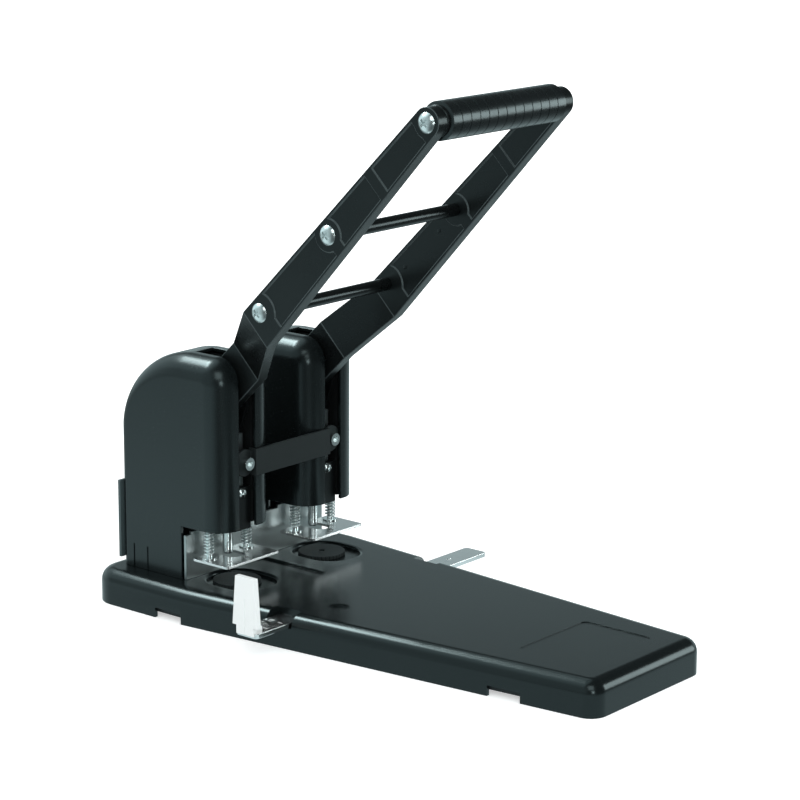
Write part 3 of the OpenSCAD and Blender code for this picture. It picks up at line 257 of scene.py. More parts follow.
@dataclass(frozen=True)
class DarkCoat:
    """Black enamel, moulded plastic or rubber, with fine grain, dust and handling marks.

    Colour and roughness drift with a slow noise, a fine noise gives the grain of the surface
    and rare specks of dust lie on it. Rounded edges may get a painted highlight: a lighter
    colour that stands in for the light they catch.
    """

    colour: Colour
    roughness: float
    specular: float = 0.4
    grain_mm: float = 0.5
    grain_depth_mm: float = 0.004
    drift: float = 0.06
    dust: float = 0.5
    # how much lighter the painted highlight on rounded edges is; 1 paints none
    rub: float = 1.0
    cloud_mm: float = 38.0
    wipe_mm: float = 9.0
    speck_mm: float = 0.9
    speck_limit: float = 0.80

    def build(self, name: str) -> bpy.types.Material:
        """Make the material."""
        material, shader = new_material(name)
        cloud = shader.noise(self.cloud_mm, 3.0)
        fine = shader.noise(self.grain_mm)
        wipe = shader.noise(self.wipe_mm, stretch=(1.0, 0.35, 1.0))
        speck = (shader.noise(self.speck_mm, 0.0).above(self.speck_limit) * self.dust).clamped()
        body = shader.mix(cloud, scaled(self.colour, 0.82), scaled(self.colour, 1.2))
        dusty = shader.mix(speck, body, scaled(self.colour, 1.9))
        # painted highlight: faces of rounded edges are made lighter in colour, as if they caught
        # light
        if self.rub > 1.0:
            worn = shader.out(shader.add("ShaderNodeAttribute", {"attribute_name": EDGE_HIGHLIGHT}), "Fac")
            dusty = shader.mix(worn * (wipe * 0.8 + 0.5), dusty, scaled(self.colour, self.rub))
        rough = (cloud - 0.5) * self.drift * 2.0 + (wipe - 0.5) * self.drift + self.roughness
        rough = (rough + speck * 0.12).clamped()
        shader.surface({
            "Base Color": dusty,
            "Roughness": rough,
            "Specular IOR Level": self.specular,
            "Specular Tint": (*COOL, 1.0),
            "Normal": shader.bump(fine, self.grain_depth_mm),
        })
        return material


@dataclass(frozen=True)
class BrightMetal:
    """Plated, ground or drawn steel with fine lines along one direction and a few stains."""

    colour: Colour
    roughness: float
    run: Axis = Axis.X
    line_mm: float = 0.25
    line_depth_mm: float = 0.002
    stain: float = 0.12
    cloud_mm: float = 14.0

    def build(self, name: str) -> bpy.types.Material:
        """Make the material."""
        material, shader = new_material(name)
        lines = shader.noise(self.line_mm * LINE_STRETCH, stretch=self.run.value)
        cloud = shader.noise(self.cloud_mm, 3.0)
        stain = ((cloud - 0.52) * 4.0).clamped() * self.stain
        body = shader.mix(stain, self.colour, scaled(self.colour, 0.6))
        rough = (lines - 0.5) * 0.10 + stain * 0.5 + self.roughness
        shader.surface({
            "Base Color": body,
            "Metallic": 1.0,
            "Roughness": rough.clamped(),
            "Normal": shader.bump(lines, self.line_depth_mm),
        })
        return material


@dataclass(frozen=True)
class PaleMoulding:
    """White moulded plastic with a slight sheen and faint clouds."""

    colour: Colour
    roughness: float = 0.35
    cloud_mm: float = 12.0
    grain_mm: float = 0.4

    def build(self, name: str) -> bpy.types.Material:
        """Make the material."""
        material, shader = new_material(name)
        cloud = shader.noise(self.cloud_mm, 3.0)
        fine = shader.noise(self.grain_mm)
        body = shader.mix(cloud, scaled(self.colour, 0.96), self.colour)
        rough = ((cloud - 0.5) * 0.12 + self.roughness).clamped()
        shader.surface({
            "Base Color": body,
            "Roughness": rough,
            "Specular IOR Level": 0.5,
            "Normal": shader.bump(fine, 0.003),
        })
        return material


FINISHES: Mapping[str, Union[DarkCoat, BrightMetal, PaleMoulding]] = {
    "cover_paint": DarkCoat((0.0046, 0.0064, 0.0068), 0.22, 0.42, 0.40, 0.0012, 0.03, 0.2),
    "head_plastic": DarkCoat((0.0046, 0.0064, 0.0068), 0.25, 0.48, 0.40, 0.0012, 0.03, 0.2),
    "pan_plastic": DarkCoat((0.012, 0.012, 0.013), 0.55, 0.35, 0.6, 0.02),
    "foot_rubber": DarkCoat((0.010, 0.010, 0.010), 0.75, 0.3, 0.5, 0.02),
    "disc_plastic": DarkCoat((0.0170, 0.0205, 0.0210), 0.52, 0.30, 0.5, 0.010),
    # arm_paint paints a highlight on the arms' rounded edges, 13 times as light as the coat
    "arm_paint": DarkCoat((0.0045, 0.0056, 0.0058), 0.30, 0.34, 0.55, 0.006, 0.16, 0.5, 13.0),
    "crossbar_paint": DarkCoat((0.0035, 0.0042, 0.0044), 0.26, 0.38, 0.6, 0.002),
    "grip_rubber": DarkCoat((0.0050, 0.0062, 0.0066), 0.27, 0.60, 0.35, 0.003, 0.05),
    "collar_plastic": DarkCoat((0.0045, 0.0048, 0.0050), 0.28, 0.4),
    "block_paint": DarkCoat((0.0035, 0.0040, 0.0042), 0.36, 0.25, 0.5, 0.006),
    "tie_paint": DarkCoat((0.0120, 0.0145, 0.0150), 0.55, 0.30, 0.4, 0.008, 0.05),
    "frame_iron": DarkCoat((0.0060, 0.0062, 0.0065), 0.5, 0.3, 1.2, 0.03),
    "dark_steel": BrightMetal((0.12, 0.12, 0.125), 0.38),
    "plate_steel": BrightMetal((0.42, 0.43, 0.44), 0.30),
    "bright_sheet": BrightMetal((0.76, 0.74, 0.74), 0.20, Axis.X, 0.3, 0.002, 0.10),
    "bright_screw": BrightMetal((0.74, 0.78, 0.78), 0.22, Axis.X, 0.3, 0.001, 0.08),
    "tongue_zinc": BrightMetal((0.50, 0.55, 0.55), 0.34, Axis.Z, 0.3, 0.003, 0.2),
    "punch_steel": BrightMetal((0.86, 0.90, 0.90), 0.22, Axis.Z, 0.3, 0.001, 0.06),
    "spring_steel": BrightMetal((0.92, 0.97, 0.97), 0.34, Axis.X, 0.4, 0.001, 0.06),
    "rule_metal": BrightMetal((0.92, 0.90, 0.90), 0.20, Axis.X, 0.3, 0.002, 0.10),
    "guide_plastic": PaleMoulding((0.90, 0.92, 0.92)),
    "satin_sheet": BrightMetal((0.37, 0.40, 0.40), 0.36, Axis.X, 0.3, 0.002, 0.20),
    "grey_coat": DarkCoat((0.055, 0.076, 0.080), 0.45, 0.4, 0.5, 0.004, 0.05, 0.2),
}


class Wardrobe:
    """Makes each finish once and hands it out."""

    def __init__(self) -> None:
        """Start with no material made."""
        self.made: dict = {}

    def get(self, slot: str) -> bpy.types.Material:
        """The material of a slot of the record."""
        if slot not in self.made:
            self.made[slot] = FINISHES[slot].build(slot)
        return self.made[slot]

    def dress(self, piece: Piece, slot: str) -> None:
        """Give every face of a piece one finish."""
        piece.data.materials.clear()
        piece.data.materials.append(self.get(slot))


WARDROBE = Wardrobe()
NODE_SLOT = {s["node"]: s["material_slot"] for s in frame["record"]["subparts"]}
NODE_BODY = {
    node: body for body, nodes in frame["record"]["behaviour"]["bodies"].items() for node in nodes
}


# ---------------------------------------------------------------- mesh making


def mesh_piece(name: str, points: Array, faces: Sequence[Sequence[int]]) -> Piece:
    """Put points and faces into a new object at the origin.

    Args:
        name: the piece's name.
        points: an (n, 3) array in metres.
        faces: the corners of each face, in order seen from outside.

    Returns:
        The linked object.
    """
    mesh = bpy.data.meshes.new(name)
    mesh.from_pydata(np.asarray(points, float).tolist(), [], [list(map(int, f)) for f in faces])
    mesh.update()
    piece = bpy.data.objects.new(name, mesh)
    bpy.context.scene.collection.objects.link(piece)
    return piece


def grid_faces(rows: int, cols: int, close_rows: bool = False, close_cols: bool = False) -> Array:
    """Quads of a grid of points stored row by row.

    Args:
        rows: how many rows of points there are.
        cols: how many points a row has.
        close_rows: whether the last row joins the first.
        close_cols: whether the last point of a row joins its first.

    Returns:
        An (m, 4) array of point numbers.
    """
    r = np.arange(rows if close_rows else rows - 1)[:, None]
    c = np.arange(cols if close_cols else cols - 1)[None, :]
    r1, c1 = (r + 1) % rows, (c + 1) % cols
    quads = np.stack([r * cols + c, r * cols + c1, r1 * cols + c1, r1 * cols + c], -1)
    return quads.reshape(-1, 4)


def blocks(name: str, lows_mm: Array, sizes_mm: Array) -> Piece:
    """Upright boxes in one object.

    Args:
        name: the piece's name.
        lows_mm: an (n, 3) array with the lowest corner of each box.
        sizes_mm: an (n, 3) array with their sizes.

    Returns:
        The object.
    """
    corner = np.array([[i, j, k] for i in (0, 1) for j in (0, 1) for k in (0, 1)], float)
    box = np.array([
        [0, 1, 3, 2], [4, 6, 7, 5], [0, 4, 5, 1], [2, 3, 7, 6], [0, 2, 6, 4], [1, 5, 7, 3]
    ])
    points = (lows_mm[:, None, :] + corner[None] * sizes_mm[:, None, :]).reshape(-1, 3)
    faces = (box[None] + len(corner) * np.arange(len(lows_mm))[:, None, None]).reshape(-1, 4)
    return mesh_piece(name, points * MM, faces)


def place_object(name: str, data: bpy.types.ID, axes: Sequence[Array], place: Array) -> Piece:
    """Link a camera or a lamp that stands at a place.

    Args:
        name: the object's name.
        data: its camera or light data.
        axes: its right, its up and its backward direction.
        place: its place in metres.

    Returns:
        The object.
    """
    item = bpy.data.objects.new(name, data)
    bpy.context.scene.collection.objects.link(item)
    matrix = Matrix.Identity(4)
    for col, column in enumerate((*axes, place)):
        for row in range(3):
            matrix[row][col] = column[row]
    item.matrix_world = matrix
    return item


def tidy(piece: Piece, gap_mm: float = 0.002) -> None:
    """Merge doubled points and turn all faces outwards."""
    shape = bmesh.new()
    shape.from_mesh(piece.data)
    bmesh.ops.remove_doubles(shape, verts=shape.verts, dist=gap_mm * MM)
    bmesh.ops.recalc_face_normals(shape, faces=shape.faces)
    shape.to_mesh(piece.data)
    shape.free()


def smooth(piece: Piece, angle_deg: float) -> None:
    """Shade smooth across edges that bend by less than an angle."""
    piece.data.shade_smooth()
    piece.data.set_sharp_from_angle(angle=math.radians(angle_deg))


def round_edges(piece: Piece, width_mm: float, angle_deg: float, steps: int = 2) -> None:
    """Round the sharp edges of a piece and even out its normals."""
    bevel = piece.modifiers.new("round", "BEVEL")
    bevel.width = width_mm * MM
    bevel.segments = steps
    bevel.limit_method = "ANGLE"
    bevel.angle_limit = math.radians(angle_deg)
    bevel.use_clamp_overlap = True
    even = piece.modifiers.new("even", "WEIGHTED_NORMAL")
    even.keep_sharp = True
    even.weight = 80


def apply_modifiers(piece: Piece) -> None:
    """Turn a piece's modifiers into mesh."""
    graph = bpy.context.evaluated_depsgraph_get()
    mesh = bpy.data.meshes.new_from_object(piece.evaluated_get(graph), depsgraph=graph)
    piece.modifiers.clear()
    old = piece.data
    piece.data = mesh
    bpy.data.meshes.remove(old)


def show(piece: Piece, body: str, slot: str, nodes: Sequence[str] = ()) -> Piece:
    """Dress a piece, let it ride and let it stand for CAD nodes.

    Args:
        piece: the object.
        body: the CAD body that it moves with.
        slot: the record's material slot.
        nodes: the CAD nodes that it replaces.

    Returns:
        The same object.
    """
    WARDROBE.dress(piece, slot)
    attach(piece, body)
    if nodes:
        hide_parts(*nodes)
    LOG.info("made %s on %s", piece.name, body)
    return piece


def soften(piece: Piece, chosen: Shares, width_mm: float, steps: int = 4) -> None:
    """Round only chosen edges, as in a pressed or cast form.

    Args:
        piece: the object.
        chosen: takes the two ends of every edge in millimetres and its bend in degrees, and
            gives each edge a share, 0 to 1.
        width_mm: the width of the rounding of an edge whose share is 1.
        steps: faces across a rounded edge.
    """
    mesh = piece.data
    points = np.empty(len(mesh.vertices) * 3)
    mesh.vertices.foreach_get("co", points)
    ends = np.empty(len(mesh.edges) * 2, int)
    mesh.edges.foreach_get("vertices", ends)
    points = points.reshape(-1, 3) / MM
    shape = bmesh.new()
    shape.from_mesh(mesh)
    bend = np.degrees([edge.calc_face_angle(0.0) for edge in shape.edges])
    shape.free()
    marks = chosen(points[ends[0::2]], points[ends[1::2]], bend).astype(float)
    weights = mesh.attributes.new("bevel_weight_edge", "FLOAT", "EDGE")
    weights.data.foreach_set("value", marks)
    bevel = piece.modifiers.new("soften", "BEVEL")
    bevel.width = width_mm * MM
    bevel.segments = steps
    bevel.limit_method = "WEIGHT"
    bevel.use_clamp_overlap = False
    LOG.info("softened %d edges of %s", np.count_nonzero(marks), piece.name)


def refined(
    node: str, width_mm: float, angle_deg: float = 30.0, steps: int = 2,
    chosen: Optional[Shares] = None, soft_mm: float = 1.0, worn: bool = False,
) -> Piece:
    """A finer stand-in for a CAD node: the same form with rounded edges and smooth curves.

    Args:
        node: the CAD node.
        width_mm: the width of the rounding.
        angle_deg: the bend past which an edge counts as sharp.
        steps: faces across a rounded edge.
        chosen: marks edges that get a wider rounding first.
        soft_mm: the width of that rounding.
        worn: whether a painted highlight, a lighter colour, goes on its rounded edges.

    Returns:
        The new piece, dressed and riding on the node's body.
    """
    mesh = frame["nodes"][node].data.copy()
    for layer in ("custom_normal", "sharp_face", "sharp_edge"):
        if layer in mesh.attributes:
            mesh.attributes.remove(mesh.attributes[layer])
    piece = bpy.data.objects.new(node + "_dressed", mesh)
    bpy.context.scene.collection.objects.link(piece)
    shape = bmesh.new()
    shape.from_mesh(mesh)
    bmesh.ops.remove_doubles(shape, verts=shape.verts, dist=MERGE_MM * MM)
    bmesh.ops.dissolve_degenerate(shape, edges=shape.edges, dist=THIN_MM * MM)
    bmesh.ops.dissolve_limit(
        shape, angle_limit=math.radians(FLAT_DEG), verts=shape.verts, edges=shape.edges
    )
    shape.to_mesh(mesh)
    shape.free()
    if chosen is not None:
        soften(piece, chosen, soft_mm)
        apply_modifiers(piece)
    smooth(piece, angle_deg)
    round_edges(piece, width_mm, angle_deg, steps)
    # paint a highlight on the rounded edges
    if worn:
        mark_worn(piece)
    return show(piece, NODE_BODY[node], NODE_SLOT[node], [node])


def mark_worn(piece: Piece) -> None:
    """Make the roundings mesh and note their faces in the attribute for the painted highlight."""
    piece.data.materials.clear()
    for _ in range(2):
        piece.data.materials.append(WARDROBE.get("block_paint"))
    piece.modifiers["round"].material = 1
    piece.modifiers["round"].use_clamp_overlap = False
    apply_modifiers(piece)
    rounded = np.empty(len(piece.data.polygons), int)
    piece.data.polygons.foreach_get("material_index", rounded)
    piece.data.polygons.foreach_set("material_index", np.zeros_like(rounded))
    layer = piece.data.attributes.new(EDGE_HIGHLIGHT, "FLOAT", "FACE")
    layer.data.foreach_set("value", rounded.astype(float))
    LOG.info("%s has %d worn faces", piece.name, int(rounded.sum()))


def revolved(
    name: str, radius_mm: Array, along_mm: Array, axes: Array, centre_mm: Array,
    around: int = 64,
) -> Piece:
    """A closed profile turned about an axis.

    Point (i, j) lies at centre + along_i * w + radius_i * (cos a_j * u + sin a_j * v), where
    u, v and w are the rows of axes and a_j runs once round.

    Args:
        name: the piece's name.
        radius_mm: the profile's radii.
        along_mm: the profile's places along the axis.
        axes: rows u, v and w.
        centre_mm: the profile's origin.
        around: points in a turn.

    Returns:
        The object.
    """
    a = np.linspace(0.0, 2.0 * np.pi, around, endpoint=False)
    ring = np.cos(a)[:, None] * axes[0] + np.sin(a)[:, None] * axes[1]
    points = (
        centre_mm
        + along_mm[:, None, None] * axes[2]
        + radius_mm[:, None, None] * ring[None, :, :]
    )
    faces = grid_faces(len(radius_mm), around, close_rows=True, close_cols=True)
    piece = mesh_piece(name, points.reshape(-1, 3) * MM, faces)
    tidy(piece)
    return piece


# ---------------------------------------------------------------- sub-assemblies


@dataclass
class HeadCover:
    """Moulded shell of one head, with the slot for the lever."""

    side: Side
    centre_x_mm: float = 40.0
    half_mm: float = 24.7
    edge_mm: float = 14.0
    rear_edge_mm: float = 4.5
    front_mm: float = -17.5
    rear_mm: float = 68.0
    top_mm: float = 164.0
    throat_mm: float = 56.0
    leg_mm: float = 16.3
    foot_mm: float = 21.69
    front_r_mm: float = 16.0
    rear_r_mm: float = 50.0
    slot_half_mm: float = 7.5
    wall_mm: float = 2.2
    slit_mm: Pair = (46.0, 57.8)
    slit_top_mm: float = 37.0
    slit_w_mm: float = 0.8
    slit_depth_mm: float = 14.0
    cutter_w_mm: float = 20.0
    cutter_low_mm: float = 10.0
    taper_power: float = 1.2
    smooth_deg: float = 32.0
    rim_mm: float = 0.35
    rim_deg: float = 42.0
    front_points: int = 15
    rear_points: int = 29
    run_points: int = 5
    edge_points: int = 13

    def outline(self) -> Tuple[Array, Array, Array, int]:
        """Side view of the shell from the front's foot over the top to the rear's foot.

        Straight runs join two arcs: a quarter turn at the front's top and a larger quarter turn
        at the rear. The rounding of the side edges narrows along the rear arc, as
        rear + (edge - rear) * sin(b)^power at an angle b above the horizontal.

        Returns:
            The (y, z) points, their outward directions, the rounding at each point and the row
            where the slot ends.
        """
        front_y = self.front_mm + self.front_r_mm
        front_z = self.top_mm - self.front_r_mm
        rear_y = self.rear_mm - self.rear_r_mm
        rear_z = self.top_mm - self.rear_r_mm
        a = np.linspace(np.pi, np.pi / 2, self.front_points)
        b = np.linspace(np.pi / 2, 0.0, self.rear_points)
        front = np.stack([np.cos(a), np.sin(a)], 1)
        rear = np.stack([np.cos(b), np.sin(b)], 1)
        rise = np.linspace(self.throat_mm, front_z, self.run_points)[:-1]
        drop = np.linspace(rear_z, self.foot_mm, self.run_points)[1:]
        points = np.concatenate([
            np.stack([np.full_like(rise, self.front_mm), rise], 1),
            np.array([front_y, front_z]) + self.front_r_mm * front,
            np.array([rear_y, rear_z]) + self.rear_r_mm * rear,
            np.stack([np.full_like(drop, self.rear_mm), drop], 1),
        ])
        ahead, behind = np.tile([-1.0, 0.0], (len(rise), 1)), np.tile([1.0, 0.0], (len(drop), 1))
        taper = np.clip(np.sin(b), 0.0, 1.0) ** self.taper_power
        edge = np.concatenate([
            np.full(len(rise) + len(a), self.edge_mm),
            self.rear_edge_mm + (self.edge_mm - self.rear_edge_mm) * taper,
            np.full(len(drop), self.rear_edge_mm),
        ])
        return points, np.concatenate([ahead, front, rear, behind]), edge, len(rise) + len(a)

    def shell(self) -> Piece:
        """The shell as one sheet: a rounded section carried along the side view.

        A point across the section lies at x on the outline, moved in by edge * (1 - cos t)
        where the section turns through t from its flat middle to the side face.

        Returns:
            The object, given its wall by a modifier.
        """
        line, out, edge, slot_row = self.outline()
        t = np.linspace(0.0, np.pi / 2, self.edge_points)[None, :]
        edge = edge[:, None]
        slot = np.full_like(edge, self.slot_half_mm)
        half_x = np.concatenate([slot, self.half_mm - edge + edge * np.sin(t)], 1)
        half_in = np.concatenate([slot * 0.0, edge * (1.0 - np.cos(t))], 1)
        x = np.concatenate([-half_x[:, ::-1], half_x], 1)
        inward = np.concatenate([half_in[:, ::-1], half_in], 1)
        yz = line[:, None, :] - inward[:, :, None] * out[:, None, :]
        xs = x[:, :, None] + self.centre_x_mm * self.side.value
        points = np.concatenate([xs, yz], -1).reshape(-1, 3)
        rows, cols = yz.shape[:2]
        faces = grid_faces(rows, cols).reshape(rows - 1, cols - 1, 4)
        keep = np.ones((rows - 1, cols - 1), bool)
        keep[:slot_row, half_x.shape[1] - 1] = False
        quads = [list(f) for f in faces[keep][:, ::-1]]
        corners, caps = [], []
        for col, flip in ((0, True), (cols - 1, False)):
            start = len(points) + len(corners)
            cx = points[col][0]
            corners += [[cx, self.leg_mm, self.foot_mm], [cx, self.leg_mm, self.throat_mm]]
            loop = [r * cols + col for r in range(rows)] + [start, start + 1]
            caps.append(loop[::-1] if flip else loop)
        points = np.concatenate([points, np.array(corners)])
        piece = mesh_piece(f"head_shell_{self.side.word}", points * MM, quads + caps)
        tidy(piece)
        wall = piece.modifiers.new("wall", "SOLIDIFY")
        wall.thickness = self.wall_mm * MM
        wall.offset = -1.0
        wall.use_even_offset = True
        return piece

    def cutter(self) -> Piece:
        """Two thin blocks that cut the slits beside the snap tab."""
        inner = self.centre_x_mm + self.half_mm - self.slit_depth_mm
        low_x = inner if self.side is Side.RIGHT else -inner - self.cutter_w_mm
        lows = np.array([[low_x, y - self.slit_w_mm / 2, self.cutter_low_mm] for y in self.slit_mm])
        size = [self.cutter_w_mm, self.slit_w_mm, self.slit_top_mm - self.cutter_low_mm]
        piece = blocks(f"slit_{self.side.word}", lows, np.array([size] * len(lows)))
        tidy(piece)
        return piece

    def build(self) -> None:
        """Make the shell, cut it and round its edges."""
        piece = self.shell()
        cutter = self.cutter()
        cut = piece.modifiers.new("slits", "BOOLEAN")
        cut.operation = "DIFFERENCE"
        cut.object = cutter
        cut.solver = "EXACT"
        apply_modifiers(piece)
        bpy.data.objects.remove(cutter)
        smooth(piece, self.smooth_deg)
        round_edges(piece, self.rim_mm, self.rim_deg)
        show(piece, "base", "head_plastic", [f"head_cover_{self.side.word}"])


@dataclass
class Coil:
    """A wound spring with straight ends, as in the CAD model but rounder.

    The centre line is first laid out flat: straight up for one wire width, a bend into the
    slope of the helix, the helix, and the same again at the other end. It is then wrapped
    round a cylinder.
    """

    name: str
    node: str
    bodies: Tuple[str, str]
    centre_mm: Pair
    low_mm: float
    high_mm: float
    outer_mm: float
    wire_mm: float
    curls: int
    phase_deg: float = 0.0
    sides: int = 12
    steps_a_curl: int = 28
    bend_steps: int = 7
    bend_share: float = 1.1
    smooth_deg: float = 50.0

    @property
    def radius_mm(self) -> float:
        """Radius of the coil at the middle of its wire."""
        return (self.outer_mm - self.wire_mm) / 2

    def path(self) -> Tuple[Array, Array, Array]:
        """Length round the coil, height and slope of the centre line."""
        wire, bend = self.wire_mm, self.wire_mm * self.bend_share
        height = self.high_mm - self.low_mm
        rise = height - 2 * wire - 2 * bend
        run = 2 * np.pi * self.radius_mm * self.curls
        slope = math.atan2(rise, run)
        a = np.linspace(np.pi / 2, slope, self.bend_steps)
        back = a[::-1]
        k = np.linspace(0.0, 1.0, self.steps_a_curl * self.curls + 1)[1:-1]
        s = np.concatenate([
            [0.0], bend - bend * np.sin(a), bend + run * k, bend + run + bend * np.sin(back),
            [2 * bend + run],
        ])
        z = np.concatenate([
            [0.0], wire + bend * np.cos(a), wire + bend + rise * k,
            height - wire - bend * np.cos(back), [height],
        ])
        tilt = np.concatenate([[np.pi / 2], a, np.full_like(k, slope), back, [np.pi / 2]])
        return s, z, tilt

    def build(self) -> None:
        """Make the coil in place of its CAD node."""
        s, z, tilt = self.path()
        a = s / self.radius_mm + math.radians(self.phase_deg)
        zero = np.zeros_like(a)
        upright = np.array([0.0, 0.0, 1.0])
        out = np.stack([np.cos(a), np.sin(a), zero], 1)
        turn = np.stack([-np.sin(a), np.cos(a), zero], 1)
        up = np.cos(tilt)[:, None] * upright - np.sin(tilt)[:, None] * turn
        b = np.linspace(0.0, 2 * np.pi, self.sides, endpoint=False)[None, :, None]
        ring = np.cos(b) * out[:, None, :] + np.sin(b) * up[:, None, :]
        base = np.array([*self.centre_mm, self.low_mm])
        line = base + self.radius_mm * out + z[:, None] * upright
        points = line[:, None, :] + ring * self.wire_mm / 2
        last = (len(a) - 1) * self.sides
        faces = [list(f) for f in grid_faces(len(a), self.sides, close_cols=True)]
        faces += [list(range(self.sides))[::-1], [last + i for i in range(self.sides)]]
        piece = mesh_piece(self.name, points.reshape(-1, 3) * MM, faces)
        tidy(piece)
        smooth(piece, self.smooth_deg)
        WARDROBE.dress(piece, "spring_steel")
        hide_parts(self.node)
        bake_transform(piece)


@dataclass
class Springs:
    """The four clamp springs and the two return springs.

    A span is the foot and the top of a coil, and a coil is its outer diameter and its wire.
    """

    head_x_mm: float = 40.0
    rod_x_mm: float = 17.0
    clamp_span_mm: Pair = (37.6, 60.0)
    clamp_coil_mm: Pair = (6.9, 0.9)
    clamp_curls: int = 9
    phases_deg: Pair = (20.0, 200.0)
    return_y_mm: float = 14.5
    return_span_mm: Pair = (70.1, 100.1)
    return_coil_mm: Pair = (8.0, 1.2)
    return_curls: int = 6

    def build(self) -> None:
        """Wind every spring."""
        for side in Side:
            x = self.head_x_mm * side.value
            for rod, phase in zip(Side, self.phases_deg):
                node = f"clamp_spring_{side.word}_{'outer' if rod is side else 'inner'}"
                Coil(
                    node + "_wound", node, (f"clamp_{side.word}", "base"),
                    (x + rod.value * self.rod_x_mm, 0.0), *self.clamp_span_mm,
                    *self.clamp_coil_mm, self.clamp_curls, phase,
                ).build()
            node = f"return_spring_{side.word}"
            Coil(
                node + "_wound", node, ("base", "carriage"), (x, self.return_y_mm),
                *self.return_span_mm, *self.return_coil_mm, self.return_curls,
            ).build()


@dataclass
class Lever:
    """The two arms, their crossbars, the ribbed grip and the fasteners."""

    pivot_mm: Triple = (0.0, 12.5, 130.5)
    rest_deg: float = 44.6
    grip_at_mm: Pair = (270.2, 6.1)
    grip_half_mm: float = 52.5
    grip_r_mm: float = 11.3
    rod_r_mm: float = 5.02
    rings: int = 13
    groove_mm: float = 0.75
    groove_half_mm: float = 0.34
    ring_steps_mm: Tuple[float, ...] = (0.0, 0.10, 0.17, 0.25, 0.34, 0.7, 1.6, 3.0)
    marks_mm: Tuple[Pair, ...] = ((111.2, 5.1), (148.5, 4.7))
    mark_r_mm: float = 1.4
    mark_shares: Tuple[float, ...] = (0.0, 1.0, 1.0, 0.8, 0.0)
    mark_rise_mm: Tuple[float, ...] = (-0.02, -0.02, 0.15, 0.3, 0.3)
    panel_floor_mm: float = 55.8

    def axes(self) -> Array:
        """Rows: along the arm, across it and sideways."""
        a = math.radians(self.rest_deg)
        cos, sin = math.cos(a), math.sin(a)
        return np.array([[0.0, -cos, sin], [0.0, sin, cos], [-1.0, 0.0, 0.0]])

    def point(self, along_mm: float, across_mm: float) -> Array:
        """A point of the middle plane, by its place along and across the arms at rest."""
        axes = self.axes()
        return np.array(self.pivot_mm) + along_mm * axes[0] + across_mm * axes[1]

    def grip(self) -> None:
        """Ribbed sleeve: the radius dips where the distance to the nearest groove is small.

        radius = R - depth * (1 - smooth(distance / half width)), with smooth(t) = t^2 (3 - 2t).
        """
        pitch = 2 * self.grip_half_mm / self.rings
        step = np.array([*self.ring_steps_mm, pitch / 2])
        step = np.concatenate([step, pitch - step[-2:0:-1]])
        z = (np.arange(self.rings)[:, None] * pitch + step[None, :]).ravel()
        z = np.append(z, self.rings * pitch)
        near = np.minimum(z % pitch, pitch - z % pitch)
        t = np.clip(near / self.groove_half_mm, 0.0, 1.0)
        radius = self.grip_r_mm - self.groove_mm * (1.0 - t * t * (3.0 - 2.0 * t))
        radius = np.concatenate([[self.rod_r_mm], radius, [self.rod_r_mm]])
        along = np.concatenate([[0.0], z, [self.rings * pitch]]) - self.grip_half_mm
        centre = self.point(*self.grip_at_mm)
        piece = revolved("grip_ribs", radius, along, self.axes(), centre, around=96)
        smooth(piece, 40.0)
        show(piece, "lever", "grip_rubber", ["grip_sleeve"])

    def moulding_marks(self) -> None:
        """Small round marks on the inner faces of the arms, as ejector pins leave."""
        radius, rise = np.array(self.mark_shares) * self.mark_r_mm, np.array(self.mark_rise_mm)
        for side in Side:
            axes = self.axes()
            axes[2] *= side.value
            for index, (along, across) in enumerate(self.marks_mm):
                name = f"arm_mark_{side.word}_{index}"
                centre = self.point(along, across) - self.panel_floor_mm * axes[2]
                piece = revolved(name, radius, rise, axes, centre, around=24)
                smooth(piece, 30.0)
                show(piece, "lever", "arm_paint")

    def build(self) -> None:
        """Make the grip and refine the rest."""
        for side in Side:
            # the arms' rounded edges get a painted highlight
            refined(f"lever_arm_{side.word}", 0.4, 19.0, worn=True)
        self.grip()
        self.moulding_marks()
        refined("grip_collars", 0.5)
        refined("crossbar_lower", 0.2)
        refined("crossbar_upper", 0.2)
        refined("arm_screws", 0.18, 28.0)


